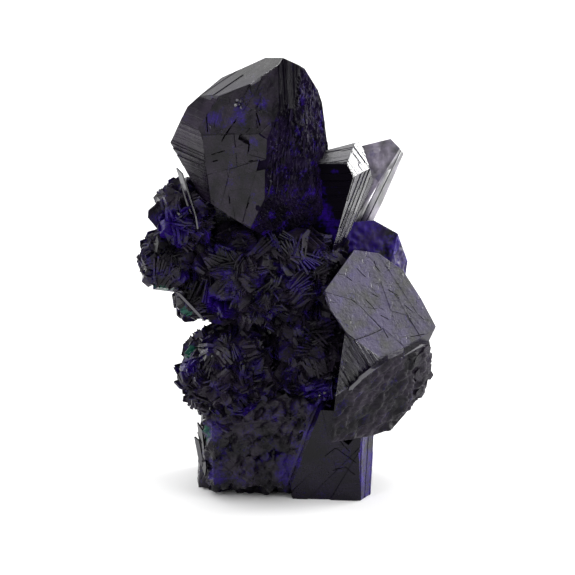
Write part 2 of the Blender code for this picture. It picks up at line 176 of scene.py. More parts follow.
# %% A tree of nodes
class Net:
    """A node tree under construction, for a finish or for the room."""

    def __init__(self, tree):
        self.tree = tree

    def node(self, kind, settings, sockets, output=0):
        """Adds any node: its settings first, then what its sockets hold."""
        made = self.tree.nodes.new(kind)
        for name, value in settings.items():
            setattr(made, name, value)
        for name, value in sockets.items():
            self.feed(made.inputs[name], value)
        return Field(self, made.outputs[output])

    def feed(self, socket, value):
        """Links a field to a socket, or sets the socket's own value."""
        if isinstance(value, Field):
            self.tree.links.new(value.socket, socket)
        else:
            socket.default_value = value

    def spread(self, value, low, high):
        """Stretches the range low to high over 0 to 1, and stops at its ends."""
        return self.node("ShaderNodeMapRange", {"clamp": True},
                         {"Value": value, "From Min": low, "From Max": high})

    def noise(self, where, size, detail=3.0, low=0.3, high=0.7):
        """Soft random patches of about a given size in millimetres, from 0 to 1."""
        raw = self.node("ShaderNodeTexNoise", {},
                        {"Vector": where, "Scale": 1 / (size * MM), "Detail": detail})
        return self.spread(raw, low, high)

    def cells(self, where, size, feature="F1", output="Distance"):
        """Angular cells of about a given size in millimetres."""
        return self.node("ShaderNodeTexVoronoi", {"feature": feature},
                         {"Vector": where, "Scale": 1 / (size * MM)}, output)

    def along(self, where, direction):
        """How far a place lies in a direction, in metres."""
        return self.node("ShaderNodeVectorMath", {"operation": "DOT_PRODUCT"},
                         {0: where, 1: direction}, "Value")

    def distance(self, where, centre):
        """How far a place lies from a centre, in metres."""
        return self.node("ShaderNodeVectorMath", {"operation": "DISTANCE"},
                         {0: where, 1: centre}, "Value")

    def fibres(self, where, domain, pitch, length):
        """Fine fibres, lying in another direction in each domain of a given size in millimetres."""
        lay = self.cells(where, domain, output="Color")
        turn = self.node("ShaderNodeVectorMath", {"operation": "SCALE"}, {0: lay, "Scale": 2 * math.pi})
        laid = self.node("ShaderNodeVectorRotate", {"rotation_type": "EULER_XYZ"},
                         {"Vector": where, "Rotation": turn})
        shrunk = self.node("ShaderNodeVectorMath", {"operation": "MULTIPLY"},
                           {0: laid, 1: (1 / (pitch * MM), 1 / (pitch * MM), 1 / (length * MM))})
        return self.node("ShaderNodeTexNoise", {}, {"Vector": shrunk, "Scale": 1.0, "Detail": 3.0})

    def mix(self, share, first, second):
        """A colour between two colours."""
        return self.node("ShaderNodeMix", {"data_type": "RGBA"}, {0: share, 6: first, 7: second}, 2)

    def bump(self, height, depth, normal=None):
        """A surface relief: height runs from 0 to 1, depth is what 1 stands for in millimetres."""
        sockets = {"Height": height, "Distance": depth * MM, "Strength": 1.0}
        if normal:
            sockets["Normal"] = normal
        return self.node("ShaderNodeBump", {}, sockets)


# %% [markdown]
# ## Room
#
# Near-black stone shows almost nothing of its own colour. What is seen is what its faces mirror, so
# the light is planned from the faces. The room is white behind, which flares on faces seen at a low
# angle, fades along the sides and is dim in front, which keeps the broad faces deep. White cards
# around the cluster would do the same, but their edges would show in the smooth faces.

# %% Room
ROOM_FRONT = 0.08
ROOM_BACK = 1.05
ROOM_TOP = 0.85


def light_room():
    """A room that is white behind, nearly so above, and dim on the viewer's side."""
    world = bpy.data.worlds.new("room")
    world.use_nodes = True
    bpy.context.scene.world = world
    net = Net(world.node_tree)
    way = net.node("ShaderNodeTexCoord", {}, {}, "Generated")
    backward = net.spread(net.along(way, (0, 1, 0)), -0.25, 0.35)
    upward = net.spread(net.along(way, (0, 0, 1)), 0.45, 0.75)
    wall = backward * (ROOM_BACK - ROOM_FRONT) + ROOM_FRONT
    strength = wall + upward * (1 - backward) * (ROOM_TOP - ROOM_FRONT)
    background = world.node_tree.nodes["Background"]
    background.inputs["Color"].default_value = (1, 1, 1, 1)
    net.feed(background.inputs["Strength"], strength)


light_room()
print("room: dim side", ROOM_FRONT, "back", ROOM_BACK, "top", ROOM_TOP)

# %% [markdown]
# ## Lamps
#
# Six soft squares: one overhead, one high on the right for the leaning plate, a strip on the right
# for the bright band, a card on the left, and two small ones whose glints pick out worn edges. Point
# lamps would give hard white dots on every blade, so all of them have an area.

# %% Lamps
LAMP_POWER = 4.0
LAMPS = {  # direction from the cluster, distance and size in metres, brightness
    "overhead": ((-0.15, 0.25, 1.0), 0.6, 0.45, 1.9),
    "plate_light": ((0.71, -0.38, 0.60), 0.6, 0.48, 2.0),
    "right_strip": ((0.91, 0.41, 0.10), 0.5, 0.26, 15.0),
    "left_glint": ((-0.85, 0.45, 0.12), 0.5, 0.12, 6.0),
    "front_glint": ((-0.55, -0.75, 0.72), 0.6, 0.06, 20.0),
    "left_card": ((-0.62, -0.77, 0.24), 0.6, 0.48, 0.8),
}


def hang_lamps():
    """Square soft lamps that look at the cluster."""
    for name, (direction, distance, size, brightness) in LAMPS.items():
        data = bpy.data.lights.new(name, "AREA")
        data.size = size
        data.energy = brightness * size * size * LAMP_POWER
        lamp = bpy.data.objects.new(name, data)
        bpy.context.scene.collection.objects.link(lamp)
        away = Vector(direction).normalized()
        lamp.location = LOOK_AT + away * distance
        lamp.rotation_euler = away.to_track_quat("Z", "Y").to_euler()


hang_lamps()
print(len(LAMPS), "lamps")

# %% [markdown]
# ## Floor
#
# A wide matte sheet with a very faint mottling. It is stage, not part of the specimen. A sweep that
# curves up behind would hide the horizon, but the view looks down and never meets it.

# %% Floor
FLOOR_SIZE = 6.0
FLOOR_WHITE = (0.99, 0.99, 0.99, 1)
FLOOR_SHADE = (0.98, 0.98, 0.98, 1)
FLOOR_MOTTLE = 60.0


def lay_floor():
    """A pale floor under the cluster."""
    bpy.ops.object.select_all(action="DESELECT")
    bpy.ops.mesh.primitive_plane_add(size=FLOOR_SIZE)
    floor = bpy.context.active_object
    floor.name = "floor"
    material = bpy.data.materials.new("matte_floor")
    material.use_nodes = True
    net = Net(material.node_tree)
    shader = material.node_tree.nodes["Principled BSDF"]
    place = net.node("ShaderNodeTexCoord", {}, {}, "Object")
    mottled = net.mix(net.noise(place, FLOOR_MOTTLE), FLOOR_WHITE, FLOOR_SHADE)
    net.feed(shader.inputs["Base Color"], mottled)
    shader.inputs["Roughness"].default_value = 0.9
    floor.data.materials.append(material)
    return floor


floor = lay_floor()
print("floor, m:", list(floor.dimensions))

# %% [markdown]
# ## Grooves, fractures and green crusts
#
# Three marks recur on azurite: bundles of fine grooves along the growth direction, hair cracks, and
# ragged crusts of green malachite, into which it weathers. Grooves and cracks are fields over the
# surface, from 0 to 1, and a crust is laid over the stone's colour. Painted textures could show them
# too, but would stretch over the steep sides of the blades.

# %% Grooves, fractures and green crusts
MALACHITE = (0.0060, 0.0600, 0.0420, 1)
GROOVE_WANDER = 3.0
GROOVE_PATCH = 1.8
FAINTEST_GROOVE = 0.35
CRACK_WIDTH = 0.06
CRUST_GRAIN = 0.9


def grooves(net, place, direction, outward, pitch):
    """Fine lines along a direction on a face, which fade in patches."""
    direction = Vector(direction).normalized()
    across = direction.cross(Vector(outward)).normalized()
    wander = net.noise(place, GROOVE_WANDER, 1.0) * (0.5 * pitch * MM)
    lines = net.node("ShaderNodeTexNoise", {"noise_dimensions": "1D"},
                     {"W": net.along(place, across) + wander, "Scale": 1 / (pitch * MM),
                      "Detail": 4.0, "Roughness": 0.7})
    patches = net.noise(place, GROOVE_PATCH, 2.0, 0.25, 0.6)
    return lines * (FAINTEST_GROOVE + (1 - FAINTEST_GROOVE) * patches)


def hair_cracks(net, place, size):
    """Broken lines between cells of a given size in millimetres."""
    edges = net.cells(place, size, "DISTANCE_TO_EDGE")
    return net.spread(edges, CRACK_WIDTH, 0.0) * net.noise(place, size * 1.3, 3.0, 0.52, 0.60)


def crusted(net, place, stone, spots):
    """Ragged crusts of malachite on the stone, around spots given as (centre, radius)."""
    for centre, radius in spots:
        near = net.spread(net.distance(place, mm(centre)), radius * 1.2 * MM, radius * 0.2 * MM)
        ragged = near + net.noise(place, CRUST_GRAIN, 6.0, 0.35, 0.65) * 0.6
        crust = net.spread(ragged, 0.85, 1.05)
        stone = net.mix(crust, stone, MALACHITE)
    return stone


# %% [markdown]
# ## Azurite's finish
#
# In the mass azurite is nearly black. Where it is thin, cracked or crumbly, light gets in and comes
# back as a strong violet blue, in patches. Its faces are glassy, so relief shows as broken
# reflections. A separate finish could be built by hand for every face, but one function makes every
# variant here, so that all faces stay the same stone.

# %% Stone finish
DEEP = (0.0022, 0.0015, 0.0036, 1)
VEIL = (0.0075, 0.0042, 0.0170, 1)
BLUE = (0.0160, 0.0030, 0.1350, 1)
# A pale veil painted on the back plate: painted sheen and painted reflection, not the stone's own colour.
PAINTED_SHEEN = (0.1900, 0.1650, 0.2300, 1)
SATIN_VEIL = (0.0180, 0.0090, 0.0560, 1)
CROWN_VEIL = (0.0180, 0.0120, 0.0250, 1)
WARM_VEIL = (0.0240, 0.0180, 0.0310, 1)
CLOUD_SHARE = 0.6
GLOW_STRENGTH = 0.7
FADE_IN = 0.12
FADE_OUT = 0.3
SWELL_SIZE = 2.4
GLOSS_PATCH = 0.8
CRACK_DEPTH = 0.018
THREAD_LENGTH = 14


def azurite(name, blue=0.2, patch=1.6, shine=1.5, veil=VEIL, gloss=0.12, satin=0.15, swell=0.02,
            grain=0.3, relief=0.004, groove=None, pitch=0.12, ridge=0.02, fibres=None, crazing=0.0,
            green=(), glow=()):
    """Azurite. Sizes are in millimetres.

    blue is the share of blue patches and patch their size, shine the refractive index, gloss the
    least roughness and satin what is added to it in patches. swell is the depth of slow waves and
    relief the depth of a grain. groove holds the direction of grooves and of their face, pitch and
    ridge their width and depth. fibres holds the size of a domain, the pitch and the depth. green
    and glow hold places, as (centre, radius).
    """
    material = bpy.data.materials.new(name)
    material.use_nodes = True
    net = Net(material.node_tree)
    shader = material.node_tree.nodes["Principled BSDF"]
    place = net.node("ShaderNodeTexCoord", {}, {}, "Object")
    clouds = net.noise(place, patch) * CLOUD_SHARE
    light = clouds + net.noise(place, patch / 7, 5.0) * (1 - CLOUD_SHARE)
    for centre, radius in glow:
        near = net.spread(net.distance(place, mm(centre)), radius * MM, 0)
        light = light + near * GLOW_STRENGTH
    lit = net.spread(light, 1 - blue - FADE_IN, 1 - blue + FADE_OUT)
    body = net.mix(net.noise(place, patch * 1.7, 5.0, 0.38, 0.62), DEEP, veil)
    stone = net.mix(lit, body, BLUE)
    normal = net.bump(net.noise(place, SWELL_SIZE, 2.0), swell)
    normal = net.bump(net.noise(place, grain, 4.0), relief, normal)
    if groove:
        normal = net.bump(grooves(net, place, *groove, pitch), ridge, normal)
    if fibres:
        domain, thread, depth = fibres
        threads = net.fibres(place, domain, thread, thread * THREAD_LENGTH)
        normal = net.bump(threads, depth, normal)
        stone = net.mix(net.spread(threads, 0.42, 0.62), net.mix(0.6, stone, DEEP), stone)
    if crazing:
        line = hair_cracks(net, place, crazing)
        normal = net.bump(1 - line, CRACK_DEPTH, normal)
        stone = net.mix(line, stone, DEEP)
    net.feed(shader.inputs["Base Color"], crusted(net, place, stone, green))
    net.feed(shader.inputs["Roughness"], gloss + satin * net.noise(place, GLOSS_PATCH, 5.0))
    net.feed(shader.inputs["Normal"], normal)
    shader.inputs["IOR"].default_value = shine
    return material


# %% [markdown]
# ## Choosing faces in code
#
# A crystal is worked on one face at a time. By hand one would click on the face. In code a face is
# known by where it lies and where it looks, so each tool asks for the faces that lie on a plane. The
# numbers of the faces could be noted down instead, but every cut changes them.

# %% Choosing faces
FLAT_TOLERANCE = 2e-6
FLAT_COSINE = 0.9999


def choose_nothing():
    """Object mode, with nothing selected."""
    if bpy.context.mode != "OBJECT":
        bpy.ops.object.mode_set(mode="OBJECT")
    bpy.ops.object.select_all(action="DESELECT")


def only(piece):
    """Leaves one piece selected and active."""
    choose_nothing()
    piece.select_set(True)
    bpy.context.view_layer.objects.active = piece


def edit(piece):
    """Opens a piece in edit mode, to select faces, with none selected."""
    only(piece)
    bpy.ops.object.mode_set(mode="EDIT")
    bpy.ops.mesh.select_mode(type="FACE")
    bpy.ops.mesh.select_all(action="DESELECT")


def choose(piece, wanted):
    """In edit mode, selects the faces that a test accepts, and returns each one's corners."""
    bpy.ops.mesh.select_all(action="DESELECT")
    mesh = bmesh.from_edit_mesh(piece.data)
    chosen = [face for face in mesh.faces if wanted(face)]
    for face in chosen:
        face.select_set(True)
    bmesh.update_edit_mesh(piece.data)
    return [[vert.co.copy() for vert in face.verts] for face in chosen]


def middle_of(corners):
    """The middle of a cell's corners."""
    return sum(corners, Vector()) / len(corners)


def reach_of(cells, point, direction):
    """From where to where the corners of some cells reach in a direction."""
    reach = [(corner - point).dot(direction) for corners in cells for corner in corners]
    return min(reach, default=0), max(reach, default=0)


def axes_in(outward):
    """Two directions that lie in a face: one level, one up the slope."""
    level = Vector((0, 0, 1)).cross(outward).normalized()
    return level, outward.cross(level).normalized()


def onto(plane, *places):
    """Places in millimetres, moved straight onto a plane."""
    point, outward = plane
    return [spot - outward * (spot - point).dot(outward) for spot in map(mm, places)]


def height_of(face, plane):
    """How far the middle of a mesh face stands out from a plane."""
    point, outward = plane
    return (face.calc_center_median() - point).dot(outward)


def lies_on(plane):
    """A test for the mesh faces that lie flat on a plane."""
    return lambda face: (face.normal.dot(plane[1]) > FLAT_COSINE
                         and abs(height_of(face, plane)) < FLAT_TOLERANCE)


# %% [markdown]
# ## Cutting a crystal
#
# A crystal starts as a block. Every face is one cut: the bisect tool slices the mesh at a plane,
# throws away what lies outside and fills the cut flat. Booleans with large cutters would do the
# same with more set-up, and a hand-made hull would need every corner listed. Every edge of a real
# crystal is worn by a hair, and that hair of an edge catches light, so a narrow bevel comes last.

# %% Cutting tools
ROUGH_BLOCK = 44.0
EDGE_WEAR = 0.04
WORN_ANGLE = 8.0
WEAR_STEPS = 2
FLOOR_PLANE = (Vector((0, 0, 0)), Vector((0, 0, -1)))


def sized(name, place, size):
    """Names the new primitive at a place and stretches it. It stays in edit mode, all selected."""
    piece = bpy.context.active_object
    piece.name = piece.data.name = name
    bpy.ops.object.transform_apply(location=True, rotation=False, scale=False)
    bpy.ops.object.mode_set(mode="EDIT")
    bpy.ops.mesh.select_all(action="SELECT")
    bpy.ops.transform.resize(value=[length * MM for length in size], center_override=place)
    return piece


def block(name, place, size):
    """A block at a place, open in edit mode with everything selected."""
    choose_nothing()
    bpy.ops.mesh.primitive_cube_add(size=1, location=place)
    return sized(name, place, size)


def cut_back(point, outward, near=0.1):
    """In edit mode, takes off what lies beyond a plane and fills the cut.

    A corner that lies within the distance near of the plane, in millimetres, counts as on it.
    """
    bpy.ops.mesh.select_all(action="SELECT")
    bpy.ops.mesh.bisect(plane_co=point, plane_no=outward, use_fill=True, clear_outer=True,
                        threshold=near * MM)


def hew(name, crystal):
    """A crystal: a block cut back by its faces and by the floor, with worn edges."""
    piece = block(name, mm(crystal["heart"]), [ROUGH_BLOCK] * 3)
    for point, outward in list(planes_of(crystal).values()) + [FLOOR_PLANE]:
        cut_back(point, outward)
    only(piece)
    edge = piece.modifiers.new("worn_edges", "BEVEL")
    edge.width = EDGE_WEAR * MM
    edge.segments = WEAR_STEPS
    edge.limit_method = "ANGLE"
    edge.angle_limit = math.radians(WORN_ANGLE)
    bpy.ops.object.modifier_apply(modifier=edge.name)
    return piece


# %% [markdown]
# ## Scored and stepped faces
#
# A broken or growing face is a patchwork of flats at slightly different heights and angles, with
# low steps between them. The face is scored: each score is a line from one place to another, and
# cuts only the cells that it crosses. Then each cell is pushed out and leaned by its own small
# amount, so that each catches another light. Displacing the face by a texture would round the
# steps, and steps that stay sharp are what makes it stone.

# %% Steps
SCORE_SAMPLES = 12
STEPPED_SHARE = 0.7


def within(face, spot, plane):
    """Whether a spot on a plane lies inside one convex cell."""
    outward = plane[1]
    corners = [vert.co for vert in face.verts]
    return all((end - start).cross(spot - start).dot(outward) > 0
               for start, end in zip(corners, corners[1:] + corners[:1]))


def score(piece, plane, start, end):
    """Cuts the cells of a face that a line crosses."""
    start, end = onto(plane, start, end)
    spots = [start.lerp(end, step / SCORE_SAMPLES) for step in range(SCORE_SAMPLES + 1)]
    flat = lies_on(plane)
    if choose(piece, lambda face: flat(face) and any(within(face, spot, plane) for spot in spots)):
        bpy.ops.mesh.bisect(plane_co=start, plane_no=(end - start).cross(plane[1]).normalized())


def step_out(piece, plane, rise, lean, pick, share, axis=None):
    """Pushes a share of a face's cells outward, and leans their caps a little, in degrees."""
    flat = lies_on(plane)
    for centre in map(middle_of, choose(piece, flat)):
        if pick.random() > share:
            continue
        push = plane[1] * rise * MM * pick.uniform(0.25, 1.4)
        if not choose(piece, lambda face: flat(face)
                      and (face.calc_center_median() - centre).length < FLAT_TOLERANCE):
            continue
        bpy.ops.mesh.extrude_region_move(TRANSFORM_OT_translate={"value": push})
        turn = (axis * pick.uniform(-lean, lean) if axis
                else Vector([pick.uniform(-lean, lean) for _ in range(3)]))
        for letter, angle in zip("XYZ", turn):
            bpy.ops.transform.rotate(value=math.radians(angle), orient_axis=letter,
                                     orient_type="GLOBAL", center_override=centre + push)


def stepped(piece, plane, scores, rise, lean, pick):
    """A face in flats at different heights, divided by scores."""
    edit(piece)
    for start, end in scores:
        score(piece, plane, start, end)
    step_out(piece, plane, rise, lean, pick, STEPPED_SHARE)
    bpy.ops.object.mode_set(mode="OBJECT")


# %% [markdown]
# ## Growth ridges
#
# Azurite's prism faces are covered in fine parallel ridges, because the crystal grew in thin layers
# that each stopped a little short. They are made as they grew: the face is sliced into uneven
# strips, some strips are broken across, and part of them is pushed out by a few hundredths of a
# millimetre. A bump map alone would vanish at the outline, where these ridges show best.

# %% Ridges
BREAK_SLANT = 0.6


def striate(piece, plane, groove, pick, count, rise, share=0.55, breaks=0.5, lean=5.0):
    """Uneven ridges along a groove direction on one face.

    count is the number of strips, rise how far they stand out, share how many of them do, breaks how
    many are broken across, and lean how far their tops turn, in degrees.
    """
    point, outward = plane
    groove = Vector(groove)
    groove = (groove - outward * groove.dot(outward)).normalized()
    across = outward.cross(groove).normalized()
    flat = lies_on(plane)
    edit(piece)
    whole = choose(piece, flat)
    low, high = reach_of(whole, point, across)
    near, far = reach_of(whole, point, groove)
    offsets = sorted(pick.uniform(low, high) for _ in range(count))
    for offset in offsets:
        choose(piece, flat)
        bpy.ops.mesh.bisect(plane_co=point + across * offset, plane_no=across)
    for start, end in zip([low] + offsets, offsets + [high]):
        if pick.random() > breaks:
            continue
        stop = point + across * (start + end) / 2 + groove * pick.uniform(near, far)
        slant = (groove + across * pick.uniform(-BREAK_SLANT, BREAK_SLANT)).normalized()
        if choose(piece, lambda face: flat(face) and start < height_of(face, (point, across)) < end):
            bpy.ops.mesh.bisect(plane_co=stop, plane_no=slant)
    step_out(piece, plane, rise, lean, pick, share, groove)
    bpy.ops.object.mode_set(mode="OBJECT")


# %% [markdown]
# ## Grainy sides
#
# Where crystals grew against each other, the side is neither flat nor ridged but grainy. Such a
# face is sliced into a fine grid, and the inside of the grid is displaced by a texture stretched
# along the grain. The texture reads the space of an empty, which is removed once it is applied.
# Sculpting every grain would never end, and the grid leaves the crystal's edges where they are.

# %% Grain
SOFT_REACH = 1.5
SOFT_SPREAD = 0.3


def gridded(piece, plane, pitch):
    """Cuts one face into a fine square grid and stores its inside as a vertex group."""
    point, outward = plane
    flat = lies_on(plane)
    edit(piece)
    for direction in axes_in(outward):
        low, high = reach_of(choose(piece, flat), point, direction)
        steps = max(1, int((high - low) / (pitch * MM)))
        for step in range(1, steps):
            choose(piece, flat)
            bpy.ops.mesh.bisect(plane_co=point + direction * (low + (high - low) * step / steps),
                                plane_no=direction)
    mesh = bmesh.from_edit_mesh(piece.data)
    inside = [vert.index for vert in mesh.verts if all(flat(face) for face in vert.link_faces)]
    bpy.ops.object.mode_set(mode="OBJECT")
    group = piece.vertex_groups.get("grainy") or piece.vertex_groups.new(name="grainy")
    group.add(inside, 1.0, "REPLACE")


def soften(piece, plane):
    """Shades the grainy inside of a face smoothly."""
    edit(piece)
    choose(piece, lambda face: abs(height_of(face, plane)) < SOFT_REACH * MM
           and face.normal.dot(plane[1]) > SOFT_SPREAD)
    bpy.ops.mesh.faces_shade_smooth()
    bpy.ops.object.mode_set(mode="OBJECT")


def displace(piece, kind, size, depth, stretch=1.0, turn=(0, 0, 0), group="grainy", level=0.5,
             **settings):
    """Moves the surface by a texture, stretched along the grain, which is the guide's Z."""
    texture = bpy.data.textures.new(f"{piece.name}_{kind.lower()}", kind)
    for name, value in settings.items():
        setattr(texture, name, value)
    guide = bpy.data.objects.new("grain_guide", None)
    bpy.context.scene.collection.objects.link(guide)
    guide.rotation_euler = [math.radians(angle) for angle in turn]
    guide.scale = (size * MM, size * MM, size * stretch * MM)
    bpy.context.view_layer.update()
    push = piece.modifiers.new("grain", "DISPLACE")
    push.texture = texture
    push.texture_coords = "OBJECT"
    push.texture_coords_object = guide
    push.strength = depth * MM
    push.mid_level = level
    if group:
        push.vertex_group = group
    only(piece)
    bpy.ops.object.modifier_apply(modifier=push.name)
    bpy.data.objects.remove(guide)
    bpy.data.textures.remove(texture)


def roughen(piece, planes, sides, pitch, *pushes, smooth=True):
    """Makes some sides grainy. Each push is a texture's kind, size and depth, then its settings."""
    for side in sides:
        gridded(piece, planes[side], pitch)
    for kind, size, depth, settings in pushes:
        displace(piece, kind, size, depth, **settings)
    for side in sides if smooth else ():
        soften(piece, planes[side])


# %% [markdown]
# ## Small crystals
#
# Thousands of small blades and shards fill the hollows between the big crystals. A few moulds are
# cut from small blocks, with slanting ends and broken edges. Every small crystal on the specimen is
# a copy of a mould with its own mesh, turned and scaled a little differently. A particle system
# could scatter them too, but here each can be left out where a big crystal stands.

# %% Moulds
def mould(name, size, cuts):
    """A small crystal at the origin. Each cut is a direction and how far out it lies, from 0 to 1."""
    piece = block(name, Vector(), size)
    for direction, share in cuts:
        outward = Vector(direction).normalized()
        reach = sum(abs(outward[axis]) * size[axis] / 2 for axis in range(3)) * MM
        cut_back(outward * reach * share, outward)
    bpy.ops.object.mode_set(mode="OBJECT")
    return piece


MOULDS = {  # width, thickness and length in millimetres, then the cuts
    "blade": ((1.1, 0.14, 2.0), [((0.7, 0, 1), 0.72), ((-1, 0.1, 1.6), 0.80), ((1, 1.6, 0), 0.86),
                                 ((-1, 1.4, 0.2), 0.84), ((0.2, -1, 0.5), 0.8), ((0.3, 0, -1), 0.8)]),
    "slab": ((1.5, 0.26, 1.7), [((1, 0, 1), 0.74), ((-1, 0.3, 0.7), 0.78), ((0.2, 1, 0.6), 0.80),
                                ((0.6, -1, 0.3), 0.78), ((-0.4, 0, -1), 0.78)]),
    "needle": ((0.20, 0.16, 1.8), [((1, 0, 1.4), 0.80), ((1, 1, 0), 0.82), ((-1, 1, 0.1), 0.84)]),
    "flake": ((1.5, 0.16, 1.3), [((1, 0, 1), 0.72), ((-1, 0, 0.6), 0.78), ((0.3, 0, -1), 0.74),
                                 ((-0.8, 0, -1), 0.76), ((0.1, 1, 0.35), 0.82), ((0.4, 1, -0.2), 0.86)]),
    "chunk": ((1.2, 0.9, 1.3), [((1, 0.4, 1), 0.66), ((-1, 0.5, 0.8), 0.70), ((0.3, -1, 0.7), 0.68),
                                ((1, -1, -0.3), 0.74), ((-1, -0.6, 0.2), 0.78), ((0.1, 1, 0.9), 0.72)]),
    "bar": ((1.0, 1.0, 1.0), [((1, 0, 1.5), 0.9), ((-1, 0, 1.5), 0.9)]),
    "wedge": ((1.0, 0.6, 1.8), [((0.9, 0, 1), 0.60), ((-0.4, 1, 1), 0.66), ((0, -1, 1.2), 0.70),
                                ((-1, -0.8, 0), 0.78), ((0.5, 1, -0.2), 0.80)]),
}


def cut_moulds():
    """All moulds of single crystals."""
    return {name: mould(name, size, cuts) for name, (size, cuts) in MOULDS.items()}


SINGLES = cut_moulds()
print(len(SINGLES), "moulds, the blade with", len(SINGLES["blade"].data.polygons), "faces")

# %% [markdown]
# ## Fans
#
# Azurite seldom grows one blade alone, so blades are gathered into fans, some tight and some open.
# They could be gathered on the specimen itself, but a few ready fans, copied many times, are quicker
# and still look different, because each copy is turned and scaled anew.

# %% Fans
def planted(source, matrix):
    """A copy of a crystal with its own mesh, set in place."""
    copy = source.copy()
    copy.data = source.data.copy()
    copy.data.transform(matrix)
    bpy.context.scene.collection.objects.link(copy)
    return copy


def joined(name, parts):
    """One piece made of several."""
    only(parts[0])
    for part in parts:
        part.select_set(True)
    bpy.ops.object.join()
    piece = bpy.context.active_object
    piece.name = piece.data.name = name
    return piece


BLADE_WOBBLE = 2
BLADE_SHIFT = 0.1
BLADE_SLIDE = 0.25


def fan(name, source, count, opening, gap, pick):
    """A fan of nearly parallel blades."""
    blades = []
    for step in range(count):
        middle = step - (count - 1) / 2
        tilt = opening * middle + pick.uniform(-BLADE_WOBBLE, BLADE_WOBBLE)
        turn = Matrix.Rotation(math.radians(tilt), 4, "X")
        shift = Matrix.Translation((pick.uniform(-BLADE_SHIFT, BLADE_SHIFT) * MM, middle * gap * MM,
                                    pick.uniform(-BLADE_SLIDE, BLADE_SLIDE) * MM))
        size = Matrix.Diagonal((pick.uniform(0.75, 1.15), pick.uniform(0.5, 0.95),
                                pick.uniform(0.7, 1.1), 1))
        blades.append(planted(source, shift @ turn @ size))
    return joined(name, blades)


FAN_COUNT = 10
FAN_SOURCES = ("blade", "blade", "slab")
FAN_BLADES = 7
TIGHTEST = 2  # degrees between the blades of the first fan
OPENS_BY = 0.8
NARROWEST = 0.11  # millimetres between them
WIDENS_BY = 0.007


def gather_fans(singles, pick):
    """Moulds of whole fans, each more open than the last."""
    fans = []
    for step in range(FAN_COUNT):
        source = singles[FAN_SOURCES[step % len(FAN_SOURCES)]]
        fans.append(fan(f"fan_{step}", source, FAN_BLADES + step % 4, TIGHTEST + OPENS_BY * step,
                        NARROWEST + WIDENS_BY * step, pick))
    return fans


FANS = gather_fans(SINGLES, random.Random(5))
print(len(FANS), "fans, the first with", len(FANS[0].data.polygons), "faces")

# %% [markdown]
# ## Lumps and what grows on them
#
# A lump's ground is a ball, made rough by two textures. Small crystals are planted all over it. A
# golden spiral spreads them evenly, and each lump is divided into domains: the crystals of one
# domain lie nearly parallel or radiate from its middle, which is what makes rosettes read as
# rosettes, and not as gravel. Crystals that would lie inside a big crystal are left out.

# %% Planting
GOLDEN_TURN = math.pi * (3 - math.sqrt(5))
SPIN_WANDER = 0.4
CENTRE_SIZE = 0.2
LAY_SHARE = 0.8
SIZE_RANGE = (0.6, 1.35)
GROUND_FINENESS = 5


def ellipsoid_spots(middle, half, count, pick):
    """Spots spread evenly over a lump, each with its outward direction."""
    spots = []
    for step in range(count):
        height = 1 - (2 * step + 1) / count
        ring = math.sqrt(1 - height * height)
        spin = step * GOLDEN_TURN + pick.uniform(-SPIN_WANDER, SPIN_WANDER)
        out = Vector((ring * math.cos(spin), ring * math.sin(spin), height))
        spot = mm(middle) + Vector([out[axis] * half[axis] * MM for axis in range(3)])
        spots.append((spot, Vector([out[axis] / half[axis] for axis in range(3)]).normalized()))
    return spots


def buried(spot, margin):
    """Whether a spot lies less than a margin outside some big crystal, or above the floor."""
    if spot.z < margin * MM:
        return True
    return any(max((spot - point).dot(outward) for point, outward in planes) < margin * MM
               for planes in BIG_PLANES)


def stray(pick, amount):
    """A small random turn of a direction."""
    return Vector([pick.uniform(-amount, amount) for _ in range(3)])


def turned(along, flat):
    """The turn that lays a mould's length along one direction and its flat side to another."""
    side = flat.cross(along).normalized()
    return Matrix((side, along.cross(side).normalized(), along)).transposed().to_4x4()


def plant(lump, sources, count, pick, size, domains, stand, wayward, sunk=0.1, margin=0.25, edge_on=0.0):
    """Small crystals over a lump. stand: 1 points them straight out, 0 lays them flat.

    wayward is how far each strays from its domain, sunk how deep it stands, and margin how far out
    of every big crystal its spot must lie. edge_on: 1 turns thin edges outward, 0 leaves them as the
    domain lies.
    """
    middle, half = lump
    centres = [(spot, stray(pick, 1).normalized())
               for spot, _ in ellipsoid_spots(middle, half, domains, pick)]
    made = []
    for spot, normal in ellipsoid_spots(middle, half, count, pick):
        if buried(spot, margin):
            continue
        centre, lay = min(centres, key=lambda domain: (domain[0] - spot).length)
        outwards = spot - centre
        radiating = outwards.normalized() if outwards.length > CENTRE_SIZE * MM else lay
        lying = (radiating + lay * LAY_SHARE) * (1 - stand)
        along = (normal * stand + lying + stray(pick, wayward)).normalized()
        flat = (normal.cross(along) * edge_on + lay.cross(along) * (1 - edge_on)
                + stray(pick, wayward)).normalized()
        scale = Matrix.Scale(size * pick.uniform(*SIZE_RANGE), 4)
        place = Matrix.Translation(spot - normal * sunk * MM)
        made.append(planted(pick.choice(sources), place @ turned(along, flat) @ scale))
    return made


def ground(name, lump):
    """The rough ball under a lump's crystals."""
    middle, half = mm(lump[0]), lump[1]
    choose_nothing()
    bpy.ops.mesh.primitive_ico_sphere_add(subdivisions=GROUND_FINENESS, radius=1, location=middle)
    piece = sized(name, middle, half)
    bpy.ops.object.mode_set(mode="OBJECT")
    displace(piece, "VORONOI", 1.5, 0.9, group=None, distance_metric="DISTANCE_SQUARED")
    displace(piece, "CLOUDS", 0.5, 0.35, group=None, noise_type="HARD_NOISE")
    return piece


# %% [markdown]
# ## Flakes and cracks
#
# A break through a crystal leaves thin flakes lying nearly flat on its face, each with a sharp edge
# that is a step down to the next. They are copies of one flat mould, scattered over a face and kept
# off its borders. Cracks are narrow slits, cut by a Boolean with a thin bar for each line. A dark
# line painted on would not break the reflection, and the broken reflection is what is seen.

# %% Flakes and cracks
TRIES = 60
FACE_REACH = 9.0
BORDER = 0.15
LOWEST_FLAKE = 0.3


